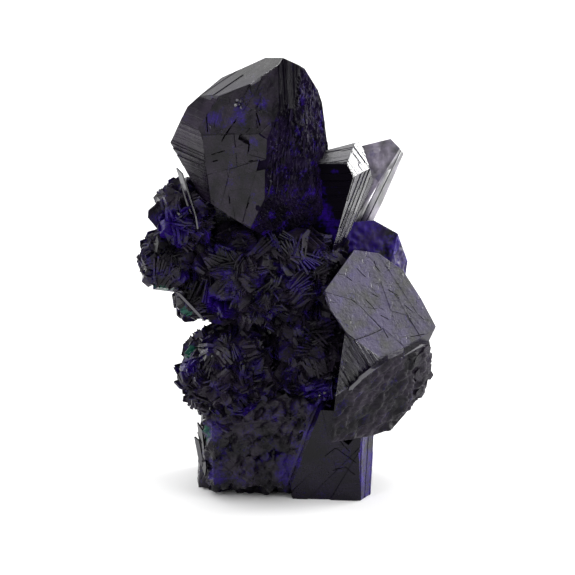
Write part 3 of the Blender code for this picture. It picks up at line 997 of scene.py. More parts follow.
def flaked(planes, name, count, size, pick, lift=0.0, tilt=0.1, heading=0.0, wander=60.0):
    """Flakes lying nearly flat on one face. heading turns them within the face, in degrees."""
    point, outward = planes[name]
    level, upward = axes_in(outward)
    others = [plane for other, plane in planes.items() if other != name]
    made = []
    for _ in range(count * TRIES):
        spot = (point + level * pick.uniform(-FACE_REACH, FACE_REACH) * MM
                + upward * pick.uniform(-FACE_REACH, FACE_REACH) * MM)
        if any((spot - at).dot(way) > -BORDER * MM for at, way in others) or spot.z < LOWEST_FLAKE * MM:
            continue
        turn = Matrix.Rotation(math.radians(heading + pick.uniform(-wander, wander)), 3, outward)
        thin = (outward + stray(pick, tilt)).normalized()
        along = (turn @ upward).cross(thin).normalized()
        scale = Matrix.Diagonal([size * pick.uniform(0.5, 1.4) for _ in range(3)] + [1])
        place = Matrix.Translation(spot + outward * lift * MM)
        made.append(planted(SINGLES["flake"], place @ turned(along, thin) @ scale))
        if len(made) == count:
            break
    return made


def cracked(piece, plane, lines, width=0.07, depth=0.5):
    """Narrow slits in a face. Each line runs through two or more places."""
    bars = []
    for pair in [pair for line in lines for pair in zip(line, line[1:])]:
        start, end = onto(plane, *pair)
        turn = turned((end - start).normalized(), -plane[1])
        size = Matrix.Diagonal((width, depth * 2, (end - start).length / MM, 1))
        bars.append(planted(SINGLES["bar"], Matrix.Translation((start + end) / 2) @ turn @ size))
    cutter = joined("crack_bars", bars)
    slit = piece.modifiers.new("cracks", "BOOLEAN")
    slit.operation = "DIFFERENCE"
    slit.object = cutter
    slit.solver = "EXACT"
    slit.use_self = True
    only(piece)
    bpy.ops.object.modifier_apply(modifier=slit.name)
    bpy.data.objects.remove(cutter)


# %% [markdown]
# ## Finishing a piece
#
# A finish can be given to the whole piece, and others to the faces that lie near one plane. One
# finish with masks could do it all, but its edges would blur. Then the piece rides with the
# specimen and stands in for the plain solid. Whatever reaches below the floor is cut off flat,
# because the foot is a clean break.

# %% Finishing
PIECES = []


def dress(piece, material, plane=None, above=0.6, below=0.05, spread=0.5):
    """Gives a finish to a piece, or to the mesh faces near one plane that look its way."""
    piece.data.materials.append(material)
    if plane is None:
        return
    edit(piece)
    choose(piece, lambda face: -below * MM < height_of(face, plane) < above * MM
           and face.normal.dot(plane[1]) > spread)
    piece.active_material_index = len(piece.data.materials) - 1
    bpy.ops.object.material_slot_assign()
    bpy.ops.object.mode_set(mode="OBJECT")


def dress_grooved(piece, name, planes, side, direction, below=0.05, **look):
    """Gives one side a new finish with grooves along a direction, and returns the finish."""
    material = azurite(name, groove=(direction, planes[side][1]), **look)
    dress(piece, material, planes[side], below=below)
    return material


def trimmed(piece):
    """Cuts a piece off at the floor."""
    if min(vert.co.z for vert in piece.data.vertices) < -FLAT_TOLERANCE:
        edit(piece)
        cut_back(*FLOOR_PLANE, near=0.001)
        bpy.ops.object.mode_set(mode="OBJECT")


def settle(piece):
    """Puts a finished piece in its place in the specimen."""
    trimmed(piece)
    piece.vertex_groups.clear()
    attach(piece, "root")
    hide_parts(SOLID)
    PIECES.append(piece)
    piece.data.calc_loop_triangles()
    print(piece.name, len(piece.data.loop_triangles), "triangles,", len(piece.data.materials), "finishes",
          round(min(vert.co.z for vert in piece.data.vertices) / MM, 3))


# %% [markdown]
# ## The large crystals
#
# These are the faces of each crystal as measured on the specimen, the crown's first. Names say where
# a face looks or what it is like. A crystal could be shaped by pulling the corners of a box, but a
# corner belongs to three faces, so each move would spoil two others. A plane can be set alone.

# %% Crown crystal's faces
CROWN = {
    "heart": (-3.0, 0.0, 31.9),
    "faces": {
        "lower_front": (-22, -4, (-2.5, -5.5, 30.9)),
        "upper_front": (-24, 13, (-3.8, -5.2, 34.2)),
        "left_striated": (-48, -6, (-7.0, -3.8, 32.3)),
        "crest": (-8, 17, (-2.8, -4.7, 37.9)),
        "small_dark": (-43, 22, (-7.7, -3.3, 34.3)),
        "bevel": (-50, 50, (-5.88, -3.3, 37.2)),
        "right_rough": (40, -5.3, (-1.1, -5.83, 33.7)),
        "fluted": (41, 14, (-0.5, -4.9, 38.5)),
        "right_side": (66, 4, (1.6, -3.5, 32.3)),
        "under_right": (38, -25, (-1.9, -5.0, 27.0)),
        "under_left": (-74, -57, (-5.74, -3.9, 27.02)),
        "root": (-36, -70, (-2.1, -3.0, 22.5)),
        "back": (160, 8, (-3.1, 4.0, 31.4)),
        "back_left": (-140, -4, (-8.0, 2.2, 31.8)),
        "back_right": (118, 10, (3.0, 3.6, 31.5)),
    },
    "rim_depth": -0.4,
    "rim": [(-8.6, 29.4), (-10.1, 32.2), (-8.5, 35.4), (-5.5, 38.0), (-1.6, 39.7),
            (0.0, 39.6), (1.8, 38.8), (3.0, 37.0), (3.9, 34.2), (4.3, 29.0)],
}
count_faces(crown=CROWN)

# %% [markdown]
# ## Faces behind the crown
#
# A shoulder stands behind the crown on the right, and a plate and a knob stand behind the shoulder.
# Only their fronts and right edges show, so each has a few faces that matter and plain ones where it
# runs into the mass. More could be cut there, but they would never be seen.

# %% Faces of the shoulder, back plate and rear knob
SHOULDER = {
    "heart": (3.7, 3.0, 26.5),
    "faces": {
        "front": (-10, -4, (4.5, -0.5, 27.4)),
        "roof": (-14, 58, (5.4, -0.9, 30.4)),
        "band_upper": (57, 22, (5.6, -1.0, 30.3)),
        "band_lower": (60, -16, (5.5, -0.7, 26.7)),
        "back": (175, 5, (4.2, 7.0, 26.9)),
        "left": (-90, 5, (-1.5, 4.0, 26.3)),
    },
    "rim_depth": 2.0,
    "rim": [(2.8, 30.6), (6.8, 31.7), (8.2, 27.6), (4.7, 21.3), (-1.3, 21.1)],
}
BACK_PLATE = {
    "heart": (8.0, 6.0, 26.7),
    "faces": {
        "front": (4, 14, (8.6, 3.6, 29.2)),
        "right_bright": (57, -21, (10.36, 4.03, 30.45)),
        "back": (178, 0, (8.8, 8.4, 26.4)),
        "left": (-90, 0, (4.5, 6.0, 26.0)),
    },
    "rim_depth": 5.8,
    "rim": [(5.5, 29.8), (6.9, 30.3), (9.6, 31.0), (11.0, 29.5), (8.9, 25.1), (7.4, 21.5),
            (4.5, 21.0)],
}
REAR_KNOB = {
    "heart": (8.6, 6.0, 20.1),
    "faces": {
        "front": (18, 8, (8.9, 2.4, 21.5)),
        "front_right": (58, -4, (9.9, 2.7, 21.0)),
        "back": (170, -6, (9.3, 8.8, 19.6)),
        "left": (-90, 0, (4.5, 6.0, 20.0)),
    },
    "rim_depth": 6.0,
    "rim": [(6.0, 23.1), (8.1, 23.3), (10.4, 22.0), (11.3, 19.6), (10.8, 15.8), (4.5, 14.6)],
}
count_faces(shoulder=SHOULDER, back_plate=BACK_PLATE, rear_knob=REAR_KNOB)

# %% [markdown]
# ## Faces of the plates
#
# The leaning plate turns its broad face up, and its lower edge is broken. That break is the front of
# the plate below it. They could be one crystal, but their rims and backs run in different
# directions, so each is cut on its own, and the bright strip between them is a face of both.

# %% Faces of the leaning plate and the plate below it
PLATE = {
    "heart": (7.8, -3.0, 17.0),
    "faces": {
        "broad": (28, 30, (3.2, -7.2, 20.0)),
        "left_corner": (-89, -35.4, (4.6, -7.76, 18.0)),
        "left_striated": (-70, -6, (4.9, -9.0, 15.6)),
        "edge_strip": (32, 20, (10.7, -6.45, 15.15)),
        "grooved": (16, 17.5, (5.2, -8.1, 17.0)),
        "under": (43, -19, (9.2, -7.0, 13.4)),
        "foot": (20, -72, (8.6, -6.0, 8.0)),
        "back": (-152, -26, (8.7, 2.0, 16.9)),
    },
    "rim_depth": -1.5,
    "rim": [(3.1, 18.2), (6.2, 22.6), (8.4, 22.3), (10.6, 20.7), (12.2, 18.1), (13.5, 15.5),
            (12.6, 13.5)],
}
LOWER_PLATE = {
    "heart": (8.3, -3.0, 9.4),
    "faces": {
        "broad": (43, -19, (9.5, -7.4, 13.3)),
        "top": (28, 30, (3.15, -7.1, 19.9)),
        "top_left": (16, 17.5, (5.2, -8.0, 17.0)),
        "edge_strip": (32, 20, (10.65, -6.45, 15.05)),
        "left_facet": (36, -21, (7.11, -8.73, 13.11)),
        "cap": (90, 73, (4.9, -7.5, 17.3)),
        "left": (-95, 7, (4.9, -6.0, 12.0)),
        "back": (178, -10, (8.8, 1.0, 7.1)),
    },
    "rim_depth": -2.6,
    "rim": [(13.0, 14.0), (13.1, 12.2), (12.8, 10.1), (11.2, 8.0), (9.7, 6.2), (7.8, 5.6), (3.9, 5.1)],
}
count_faces(plate=PLATE, lower_plate=LOWER_PLATE)

# %% [markdown]
# ## Faces of the foot
#
# A wide crystal and a narrow one stand side by side and carry the rest. Their rims run on below the
# floor, whose own plane cuts them off flat, so the cluster stands without a wobble. A base could be
# added instead, but the foot is a clean break, and a base would hide it.

# %% Faces of the two foot crystals
FOOT_BLOCK = {
    "heart": (-2.0, -1.0, 4.4),
    "faces": {
        "front": (-4, -6, (-1.7, -5.2, 5.5)),
        "shoulder": (-12, 38, (-2.4, -5.0, 8.3)),
        "right_bevel": (48, -17, (1.64, -5.52, 6.3)),
        "left": (-78, -2, (-7.0, -2.0, 3.9)),
        "lower_bevel": (-4, -56, (-2.0, -4.8, 2.1)),
        "back": (176, 0, (-2.1, 5.0, 2.5)),
    },
    "rim_depth": -3.5,
    "rim": [(-7.5, -2.2), (-7.0, 9.1), (4.1, 9.6), (4.1, 8.8), (1.7, 1.0), (0.9, -2.2)],
}
FOOT_COLUMN = {
    "heart": (5.5, -1.0, 2.4),
    "faces": {
        "front": (-6, -4, (5.0, -4.6, 3.4)),
        "right": (62, -2, (6.9, -4.8, 3.5)),
        "left": (-84, 0, (0.4, -1.0, 2.6)),
        "back": (170, 0, (5.6, 4.5, 0.7)),
    },
    "rim_depth": -2.0,
    "rim": [(1.4, 8.0), (8.1, 7.6), (7.8, -1.8)],
}
count_faces(foot_block=FOOT_BLOCK, foot_column=FOOT_COLUMN)

# %% [markdown]
# ## Faces of the back
#
# Three crystals close the back: one behind the crown, a slab, and one above the foot. They have no
# rim, because no outline seen from the front is theirs. The front crystals could be copied and
# turned round, but a cluster doesn't repeat itself.

# %% Faces of the three rear crystals
REAR_CROWN = {
    "heart": (-4.0, 5.0, 24.5),
    "faces": {
        "back": (172, 12, (-4.0, 8.6, 24.0)),
        "back_left": (-130, 6, (-7.6, 6.6, 24.0)),
        "back_right": (122, 2, (-0.6, 7.4, 24.0)),
        "left": (-92, 10, (-8.6, 4.5, 24.0)),
        "top": (176, 50, (-4.6, 6.8, 29.4)),
        "top_left": (-110, 44, (-7.0, 5.0, 28.6)),
        "front": (0, 10, (-4.5, 0.5, 26.0)),
        "right": (86, -4, (0.6, 5.0, 24.0)),
        "root": (170, -52, (-4.5, 7.8, 19.4)),
        "bottom": (0, -85, (-4.5, 5.0, 17.0)),
    },
}
REAR_SLAB = {
    "heart": (3.2, 4.5, 12.0),
    "faces": {
        "back": (158, -8, (3.2, 8.6, 12.6)),
        "back_right": (108, 6, (7.6, 6.0, 12.0)),
        "top": (150, 46, (4.0, 7.6, 17.0)),
        "top_left": (-150, 34, (0.4, 7.8, 16.0)),
        "left": (-112, -6, (-1.2, 6.6, 12.0)),
        "front": (0, 0, (3.2, -1.0, 12.0)),
        "root": (165, -56, (3.2, 7.8, 7.4)),
        "right": (86, 0, (8.4, 4.0, 12.0)),
        "bottom": (0, -85, (3.2, 4.5, 4.0)),
        "roof": (0, 80, (3.2, 4.5, 19.0)),
    },
}
REAR_FOOT = {
    "heart": (-3.4, 3.6, 8.0),
    "faces": {
        "back": (-170, 4, (-3.4, 7.0, 8.0)),
        "back_left": (-128, -4, (-6.6, 5.2, 8.0)),
        "top": (-164, 48, (-3.6, 6.2, 13.0)),
        "top_left": (-110, 40, (-6.6, 3.6, 12.0)),
        "right": (110, 0, (0.6, 5.0, 8.0)),
        "left": (-88, 4, (-7.4, 2.6, 8.0)),
        "front": (0, 0, (-3.4, -1.0, 8.0)),
        "root": (180, -60, (-3.4, 6.4, 2.4)),
        "bottom": (0, -90, (-3.4, 3.6, -2.0)),
        "roof": (0, 80, (-3.4, 3.6, 15.0)),
    },
}
count_faces(rear_crown=REAR_CROWN, rear_slab=REAR_SLAB, rear_foot=REAR_FOOT)
BIG_PLANES = [list(planes_of(crystal).values())
              for crystal in (CROWN, SHOULDER, BACK_PLATE, REAR_KNOB, PLATE, LOWER_PLATE, FOOT_BLOCK,
                              FOOT_COLUMN, REAR_CROWN, REAR_SLAB, REAR_FOOT)]
print(len(BIG_PLANES), "large crystals,", sum(len(planes) for planes in BIG_PLANES), "faces")

# %% [markdown]
# ## Scores and cracks of the crown
#
# The crown's front broke in shallow flats with sharp steps, and cracks run on from the steps. Both
# are lines from one place to another on a face. They could be drawn at random, but this face is the
# first that anyone looks at, so each line has its own place.

# %% Scores and cracks of the crown
CROWN_SCORES = {
    "lower_front": [
        ((-7.7, -3.3, 29.7), (-4.6, -4.7, 30.9)), ((-5.4, -4.5, 33.4), (-4.9, -4.5, 30.1)),
        ((-7.0, -3.7, 31.7), (-5.1, -4.6, 32.5)), ((-4.4, -5.1, 35.0), (-4.2, -4.9, 32.4)),
        ((-4.2, -4.9, 32.4), (-1.9, -5.8, 32.1)), ((-5.5, -4.1, 27.7), (-4.9, -4.5, 30.1)),
        ((-3.3, -4.9, 27.5), (-2.6, -5.4, 30.0)), ((-4.9, -4.5, 30.1), (-1.4, -6.0, 31.2)),
        ((-4.2, -5.1, 34.6), (-1.7, -6.1, 34.5)), ((-3.3, -5.4, 34.2), (-3.8, -5.1, 32.5)),
        ((-3.0, -5.5, 33.5), (-3.2, -5.3, 31.6)),
    ],
    "upper_front": [
        ((-5.5, -4.7, 33.3), (-3.6, -4.8, 36.1)), ((-3.6, -4.8, 36.1), (-1.9, -5.5, 36.5)),
        ((-4.9, -3.7, 38.4), (-3.8, -4.6, 36.6)), ((-3.0, -5.4, 34.7), (-1.9, -5.5, 36.1)),
        ((-4.2, -4.9, 34.6), (-1.9, -5.9, 34.8)), ((-6.9, -3.4, 36.0), (-5.1, -3.6, 38.2)),
        ((-3.8, -4.6, 36.6), (-3.0, -4.5, 38.4)),
    ],
    "crest": [((-2.3, -4.6, 38.6), (-1.0, -4.5, 39.3)), ((-2.5, -4.8, 37.7), (-1.9, -4.5, 39.1))],
}
CROWN_CRACKS = {
    "lower_front": [((-7.0, -3.7, 31.7), (-5.1, -4.6, 32.5)), ((-3.0, -5.5, 33.5), (-3.2, -5.3, 31.9)),
                    ((-4.9, -4.5, 28.6), (-4.8, -4.5, 27.6)), ((-2.9, -5.2, 28.6), (-3.3, -5.0, 27.4)),
                    ((-6.4, -4.0, 31.3), (-5.3, -4.5, 31.7)), ((-2.2, -5.7, 31.9), (-3.1, -5.3, 31.7))],
    "upper_front": [((-5.5, -4.7, 33.3), (-3.6, -4.8, 36.1)), ((-6.9, -3.9, 35.6), (-6.6, -4.0, 34.0)),
                    ((-2.4, -5.3, 36.0), (-2.0, -5.5, 34.9))],
}
CROWN_PIT = [((-3.9, -5.15, 33.9), (-3.0, -5.45, 33.5))]
for name, lines in CROWN_SCORES.items():
    print(name, len(lines), "scores and", len(CROWN_CRACKS.get(name, [])), "cracks")

# %% [markdown]
# ## Crown crystal
#
# The tall crystal at the top: smooth broken flats in front, a striated face on the left with its
# grooves falling to the right, and a rough, splintery right side. Sculpting could make all of it in
# one go, but each mark follows its own rule, so each side is shaped by the tool made for its mark.

# %% Crown crystal
ROUGH_SIDES = ("right_rough", "right_side", "back_right", "under_right")
LEFT_GROOVE = (1.0, -1.08, -0.17)
FLUTES = (0.15, 0.0, 1.0)


def grow_crown():
    """The crown crystal with its steps, ridges and grainy side."""
    pick = random.Random(11)
    planes = planes_of(CROWN)
    crown = hew("crown_crystal", CROWN)
    stepped(crown, planes["lower_front"], CROWN_SCORES["lower_front"], 0.12, 3.0, pick)
    stepped(crown, planes["upper_front"], CROWN_SCORES["upper_front"], 0.16, 4.0, pick)
    stepped(crown, planes["crest"], CROWN_SCORES["crest"], 0.10, 4.0, pick)
    striate(crown, planes["left_striated"], LEFT_GROOVE, pick, count=34, rise=0.06, lean=11.0)
    striate(crown, planes["small_dark"], LEFT_GROOVE, pick, count=10, rise=0.03)
    striate(crown, planes["bevel"], (1.0, 0.0, 0.9), pick, count=5, rise=0.03)
    striate(crown, planes["fluted"], FLUTES, pick, count=12, rise=0.04, lean=4.0)
    striate(crown, planes["back"], (0.1, 0.0, 1.0), pick, count=26, rise=0.10)
    roughen(crown, planes, ROUGH_SIDES, 0.16,
            ("CLOUDS", 0.9, 0.5, {"stretch": 3.5, "level": 0.25, "noise_type": "HARD_NOISE"}),
            ("CLOUDS", 0.35, 0.16, {"stretch": 4.0}), smooth=False)
    for name, lines in CROWN_CRACKS.items():
        cracked(crown, planes[name], lines, width=0.12)
    cracked(crown, planes["lower_front"], CROWN_PIT, width=0.6, depth=0.4)
    flakes = flaked(planes, "lower_front", 60, 0.5, pick, lift=-0.04, tilt=0.09, heading=20)
    flakes += flaked(planes, "upper_front", 22, 0.45, pick, lift=-0.04, tilt=0.12, heading=20)
    return joined("crown_crystal", [crown] + flakes)


crown = grow_crown()
print("crown faces:", len(crown.data.polygons))

# %% [markdown]
# ## Crown finishes
#
# The sides differ in how they shine: glassy and crazed in front, silky along the grooves, dull and
# full of blue on the rough side. A single finish for all would be simpler, but then the sides would
# differ only in shape, and near-black stone shows little of that.

# %% Crown finishes
CROWN_GLOW = [((-4.0, -5.0, 36.0), 1.5), ((-2.0, -5.4, 37.0), 1.0), ((-6.0, -4.2, 35.0), 1.3),
              ((-2.6, -5.4, 33.4), 0.8)]


def finish_crown(crown):
    """Stone finishes of the crown's faces."""
    planes = planes_of(CROWN)
    dress(crown, azurite("crown_glassy", blue=0.19, patch=1.0, shine=1.31, veil=CROWN_VEIL, gloss=0.14,
                         satin=0.25, swell=0.08, relief=0.012, fibres=(3.0, 0.12, 0.012), crazing=1.5,
                         glow=CROWN_GLOW))
    striated = dress_grooved(crown, "crown_striated", planes, "left_striated", LEFT_GROOVE, blue=0.08,
                             shine=1.33, veil=CROWN_VEIL, gloss=0.14, satin=0.1, pitch=0.22, ridge=0.09)
    dress(crown, striated, planes["small_dark"])
    rough = azurite("crown_rough", blue=0.27, patch=1.3, shine=1.07, gloss=0.2, satin=0.25, grain=0.16,
                    relief=0.012, pitch=0.16, ridge=0.05, groove=((0, 0, 1), planes["right_rough"][1]))
    for side in ROUGH_SIDES:
        dress(crown, rough, planes[side], below=0.6, spread=0.1)
    dress_grooved(crown, "crown_fluted", planes, "fluted", FLUTES, below=0.2, blue=0.03, shine=1.06,
                  veil=DEEP, gloss=0.15, satin=0.15, pitch=0.3, ridge=0.08)
    dress(crown, azurite("crown_bevel", blue=0.1, shine=2.0, gloss=0.16, satin=0.2), planes["bevel"],
          below=0.1)


finish_crown(crown)
settle(crown)

# %% [markdown]
# ## Crown splinters
#
# Long thin crystals lie on the rough side, one beside the other. They are copies of the needle, laid
# up or down the side, a little askew and rolled about their length. Ridges could stand for them,
# but real splinters cross, overlap and end in the open.

# %% Crown splinters
SPLINTERS = {"right_rough": (90, (0.0, 4.0)), "right_side": (60, (-0.4, 3.4))}  # count, from and to
SPLINTER_HEIGHTS = (-5.0, 4.6)
SPLINTER_SUNK = 0.02
SPLINTER_OUTSIDE = 0.05
SPLINTER_SLANT = 0.22
SPLINTER_LIFT = (-0.03, 0.12)


def splinter_crown(pick):
    """Long thin crystals lying side by side on the crown's rough side."""
    planes = planes_of(CROWN)
    made = []
    for name, (count, spread) in SPLINTERS.items():
        point, outward = planes[name]
        level, upward = axes_in(outward)
        for _ in range(count):
            spot = (point + level * pick.uniform(*spread) * MM
                    + upward * pick.uniform(*SPLINTER_HEIGHTS) * MM - outward * SPLINTER_SUNK * MM)
            if any((spot - at).dot(way) > SPLINTER_OUTSIDE * MM for at, way in planes.values()):
                continue
            along = (upward + level * pick.uniform(-SPLINTER_SLANT, SPLINTER_SLANT)
                     + outward * pick.uniform(*SPLINTER_LIFT))
            along = along.normalized() * pick.choice((-1, 1))
            turn = turned(along, -outward - stray(pick, 0.5))
            size = Matrix.Diagonal((pick.uniform(0.5, 1.3), pick.uniform(0.5, 1.1),
                                    pick.uniform(0.3, 1.1), 1))
            made.append(planted(SINGLES["needle"], Matrix.Translation(spot) @ turn @ size))
    return made


splinters = joined("crown_splinters", splinter_crown(random.Random(12)))
dress(splinters, azurite("splinter_stone", blue=0.20, patch=0.9, shine=1.10, gloss=0.15, satin=0.2))
settle(splinters)

# %% [markdown]
# ## Shoulder
#
# Behind the crown on the right stands a shoulder with streaked faces. Its right edge is a bright
# band of two narrow faces, whose ridges meet in a chevron. A relief in the finish could draw streaks
# and ridges, but would be lost at the outline, so they are cut, in another direction on each face.

# %% Shoulder
BAND_GROOVES = {"band_upper": (0.9, 0.0, -0.7), "band_lower": (-0.45, 0.0, -0.9)}
FRONT_GROOVE = (1.0, 0.0, 0.08)
ROOF_GROOVE = (1.0, 0.0, 0.26)
FRONT_GLOW = [((3.2, -0.8, 25.6), 1.8), ((5.0, -0.6, 23.6), 1.8), ((4.6, -0.6, 29.6), 0.9)]


def grow_shoulder():
    """The shoulder crystal with its streaks and its chevron band."""
    pick = random.Random(21)
    planes = planes_of(SHOULDER)
    shoulder = hew("shoulder_crystal", SHOULDER)
    striate(shoulder, planes["front"], FRONT_GROOVE, pick, count=30, rise=0.09)
    striate(shoulder, planes["roof"], ROOF_GROOVE, pick, count=16, rise=0.07)
    striate(shoulder, planes["back"], (0.2, 0.0, 1.0), pick, count=18, rise=0.10)
    for name, groove in BAND_GROOVES.items():
        striate(shoulder, planes[name], groove, pick, count=30, rise=0.07, lean=9.0, breaks=0.8)
    return shoulder


def finish_shoulder(shoulder):
    """Stone finishes of the shoulder."""
    planes = planes_of(SHOULDER)
    dress(shoulder, azurite("shoulder_stone", blue=0.22, shine=1.3, gloss=0.18, satin=0.2))
    dress_grooved(shoulder, "shoulder_streaked", planes, "front", FRONT_GROOVE, blue=0.17, patch=2.2,
                  shine=1.055, veil=DEEP, gloss=0.2, satin=0.2, pitch=0.2, ridge=0.06, glow=FRONT_GLOW)
    dress_grooved(shoulder, "shoulder_roof", planes, "roof", ROOF_GROOVE, blue=0.05, shine=1.75,
                  gloss=0.16, satin=0.12, pitch=0.2, ridge=0.04)
    for name, groove in BAND_GROOVES.items():
        dress_grooved(shoulder, f"shoulder_{name}", planes, name, groove, blue=0.05, shine=2.7,
                      gloss=0.14, satin=0.14, pitch=0.2, ridge=0.10)


shoulder = grow_shoulder()
finish_shoulder(shoulder)
settle(shoulder)

# %% [markdown]
# ## Back plate and rear knob
#
# A mottled plate and a violet knob stand behind the shoulder. Their fronts grew against other
# crystals and are grainy. Each pit could be carved, but they stand far back and show only in part,
# so a texture moves their faces. A pale veil is painted into the plate's finish: a painted sheen
# over its front and a painted reflection on its bright right edge, far paler than the dark stone.

# %% Back plate and rear knob
def grow_back_plate():
    """The mottled plate behind the shoulder."""
    pick = random.Random(31)
    planes = planes_of(BACK_PLATE)
    plate = hew("back_plate_crystal", BACK_PLATE)
    striate(plate, planes["right_bright"], (-0.5, 0.0, -1.0), pick, count=8, rise=0.04)
    roughen(plate, planes, ("front", "back"), 0.16,
            ("CLOUDS", 1.1, 0.30, {"stretch": 1.6, "turn": (0, -30, 0), "noise_type": "HARD_NOISE"}))
    dress(plate, azurite("back_plate_stone", blue=0.3, patch=1.1, gloss=0.2, satin=0.2, relief=0.01))
    # Painted sheen: the front's colour is painted pale in patches, standing for the light it mirrors.
    dress(plate, azurite("back_plate_painted_sheen", blue=0.26, patch=1.1, shine=1.9, veil=PAINTED_SHEEN, gloss=0.3,
                         satin=0.2, relief=0.01), planes["front"], below=0.5, spread=0.2)
    # Painted reflection: the bright right edge is painted pale, standing for the white it mirrors.
    bright = azurite("back_plate_painted_reflection", blue=0.05, patch=1.1, shine=2.4, veil=PAINTED_SHEEN, gloss=0.3,
                     satin=0.2)
    dress(plate, bright, planes["right_bright"])
    return plate


def grow_rear_knob():
    """The rounded violet crystal behind the leaning plate."""
    planes = planes_of(REAR_KNOB)
    knob = hew("rear_knob_crystal", REAR_KNOB)
    roughen(knob, planes, ("front", "front_right", "back"), 0.16, ("CLOUDS", 2.0, 0.5, {}))
    dress(knob, azurite("rear_knob_stone", blue=0.36, patch=1.4, shine=1.35, gloss=0.2, satin=0.2,
                        relief=0.01))
    violet = azurite("rear_knob_violet", blue=0.50, shine=1.25, veil=SATIN_VEIL, gloss=0.3, satin=0.2,
                     relief=0.008)
    for side in ("front", "front_right"):
        dress(knob, violet, planes[side], below=0.5, spread=0.2)
    return knob


settle(grow_back_plate())
settle(grow_rear_knob())

# %% [markdown]
# ## Scores and cracks of the leaning plate
#
# The plate's broad face shows growth layers, whose edges are low steps, and cracks along and across
# them. The long cracks could be drawn in the finish, like the fine ones, but a slit stays dark from
# every side, so they are lines to be cut.

# %% Scores and cracks of the leaning plate
PLATE_SCORES = [
    ((3.6, -6.8, 20.2), (5.8, -6.2, 19.4)), ((5.8, -6.2, 19.4), (7.2, -6.3, 18.2)),
    ((7.2, -6.3, 18.2), (8.5, -6.5, 16.8)), ((8.5, -6.5, 16.8), (6.0, -8.2, 16.2)),
    ((6.9, -4.0, 21.9), (9.0, -4.1, 20.0)), ((9.8, -3.9, 19.8), (10.5, -4.2, 18.6)),
    ((10.1, -4.3, 18.8), (11.3, -4.9, 16.9)), ((9.0, -4.6, 19.2), (9.5, -5.2, 17.9)),
    ((11.0, -3.9, 18.7), (12.1, -4.4, 17.1)),
]
PLATE_CRACKS = [
    [(3.3, -6.9, 20.4), (4.5, -6.6, 19.9), (5.8, -6.2, 19.4), (6.7, -6.2, 18.8), (7.4, -6.3, 18.0),
     (8.1, -6.4, 17.3), (8.6, -6.5, 16.7)],
    [(8.6, -6.5, 16.7), (7.4, -7.3, 16.4), (6.1, -8.2, 16.2)],
    [(9.2, -4.2, 19.7), (9.7, -4.2, 19.4), (10.0, -4.1, 19.2), (10.2, -4.3, 18.8)],
    [(6.4, -4.3, 21.7), (6.9, -4.4, 21.2), (7.2, -4.4, 20.9)],
    [(8.0, -3.3, 22.1), (8.1, -3.5, 21.7), (8.5, -3.6, 21.2)],
    [(7.2, -5.6, 19.2), (7.8, -5.7, 18.6), (8.1, -5.8, 18.2)],
    [(8.5, -5.8, 17.8), (9.2, -5.7, 17.4)], [(10.6, -4.3, 18.3), (11.4, -4.4, 17.7)],
    [(8.7, -6.4, 16.8), (9.2, -6.7, 16.0)], [(5.5, -5.2, 21.2), (6.0, -5.2, 20.8)],
    [(7.8, -5.1, 19.6), (8.3, -5.0, 19.3)], [(11.2, -5.7, 15.8), (12.4, -5.0, 15.8)],
]
print(len(PLATE_SCORES), "scores and", len(PLATE_CRACKS), "cracks")

# %% [markdown]
# ## Leaning plate
#
# It has the brightest face: satin, covered in fine cracks and growth lines, with a step where a
# lower layer shows at its left. The layers could be separate thin plates, but they have grown
# together, and scoring one face and pushing its cells out keeps them one crystal.

# %% Leaning plate
PLATE_GROOVE = (0.5, 0.0, -0.9)
BRIGHT_GROOVES = {"patch": 1.0, "shine": 1.6, "pitch": 0.2, "ridge": 0.14}
BRIGHT_STRIP = {"blue": 0.05, "shine": 1.9, "gloss": 0.16, "satin": 0.2}


def grow_plate():
    """The leaning plate with its growth layers."""
    pick = random.Random(41)
    planes = planes_of(PLATE)
    plate = hew("leaning_plate", PLATE)
    stepped(plate, planes["broad"], PLATE_SCORES, 0.08, 0.7, pick)
    striate(plate, planes["left_striated"], PLATE_GROOVE, pick, count=24, rise=0.09)
    striate(plate, planes["grooved"], PLATE_GROOVE, pick, count=44, rise=0.09, share=0.6, lean=14.0)
    striate(plate, planes["back"], PLATE_GROOVE, pick, count=20, rise=0.1)
    cracked(plate, planes["broad"], PLATE_CRACKS)
    dress(plate, azurite("plate_stone", gloss=0.2, satin=0.2))
    dress_grooved(plate, "plate_satin", planes, "broad", PLATE_GROOVE, blue=0.17, patch=1.0, shine=1.58,
                  veil=SATIN_VEIL, gloss=0.24, satin=0.24, swell=0.05, grain=0.35, relief=0.036,
                  pitch=0.35, ridge=0.025, crazing=0.8)
    dress_grooved(plate, "plate_bright_grooves", planes, "grooved", PLATE_GROOVE, **BRIGHT_GROOVES)
    dress(plate, azurite("plate_strip", **BRIGHT_STRIP), planes["edge_strip"], spread=0.99)
    dress_grooved(plate, "plate_grooved", planes, "left_striated", PLATE_GROOVE, blue=0.3, patch=1.0,
                  gloss=0.18, satin=0.2, pitch=0.18, ridge=0.05)
    return plate


settle(grow_plate())

# %% [markdown]
# ## Lower plate
#
# The plate below is the broken edge of the upper one, dark and rough, with a few large flakes. Its
# front could be stepped like the crown's, but here the break is grainy and has no flats.

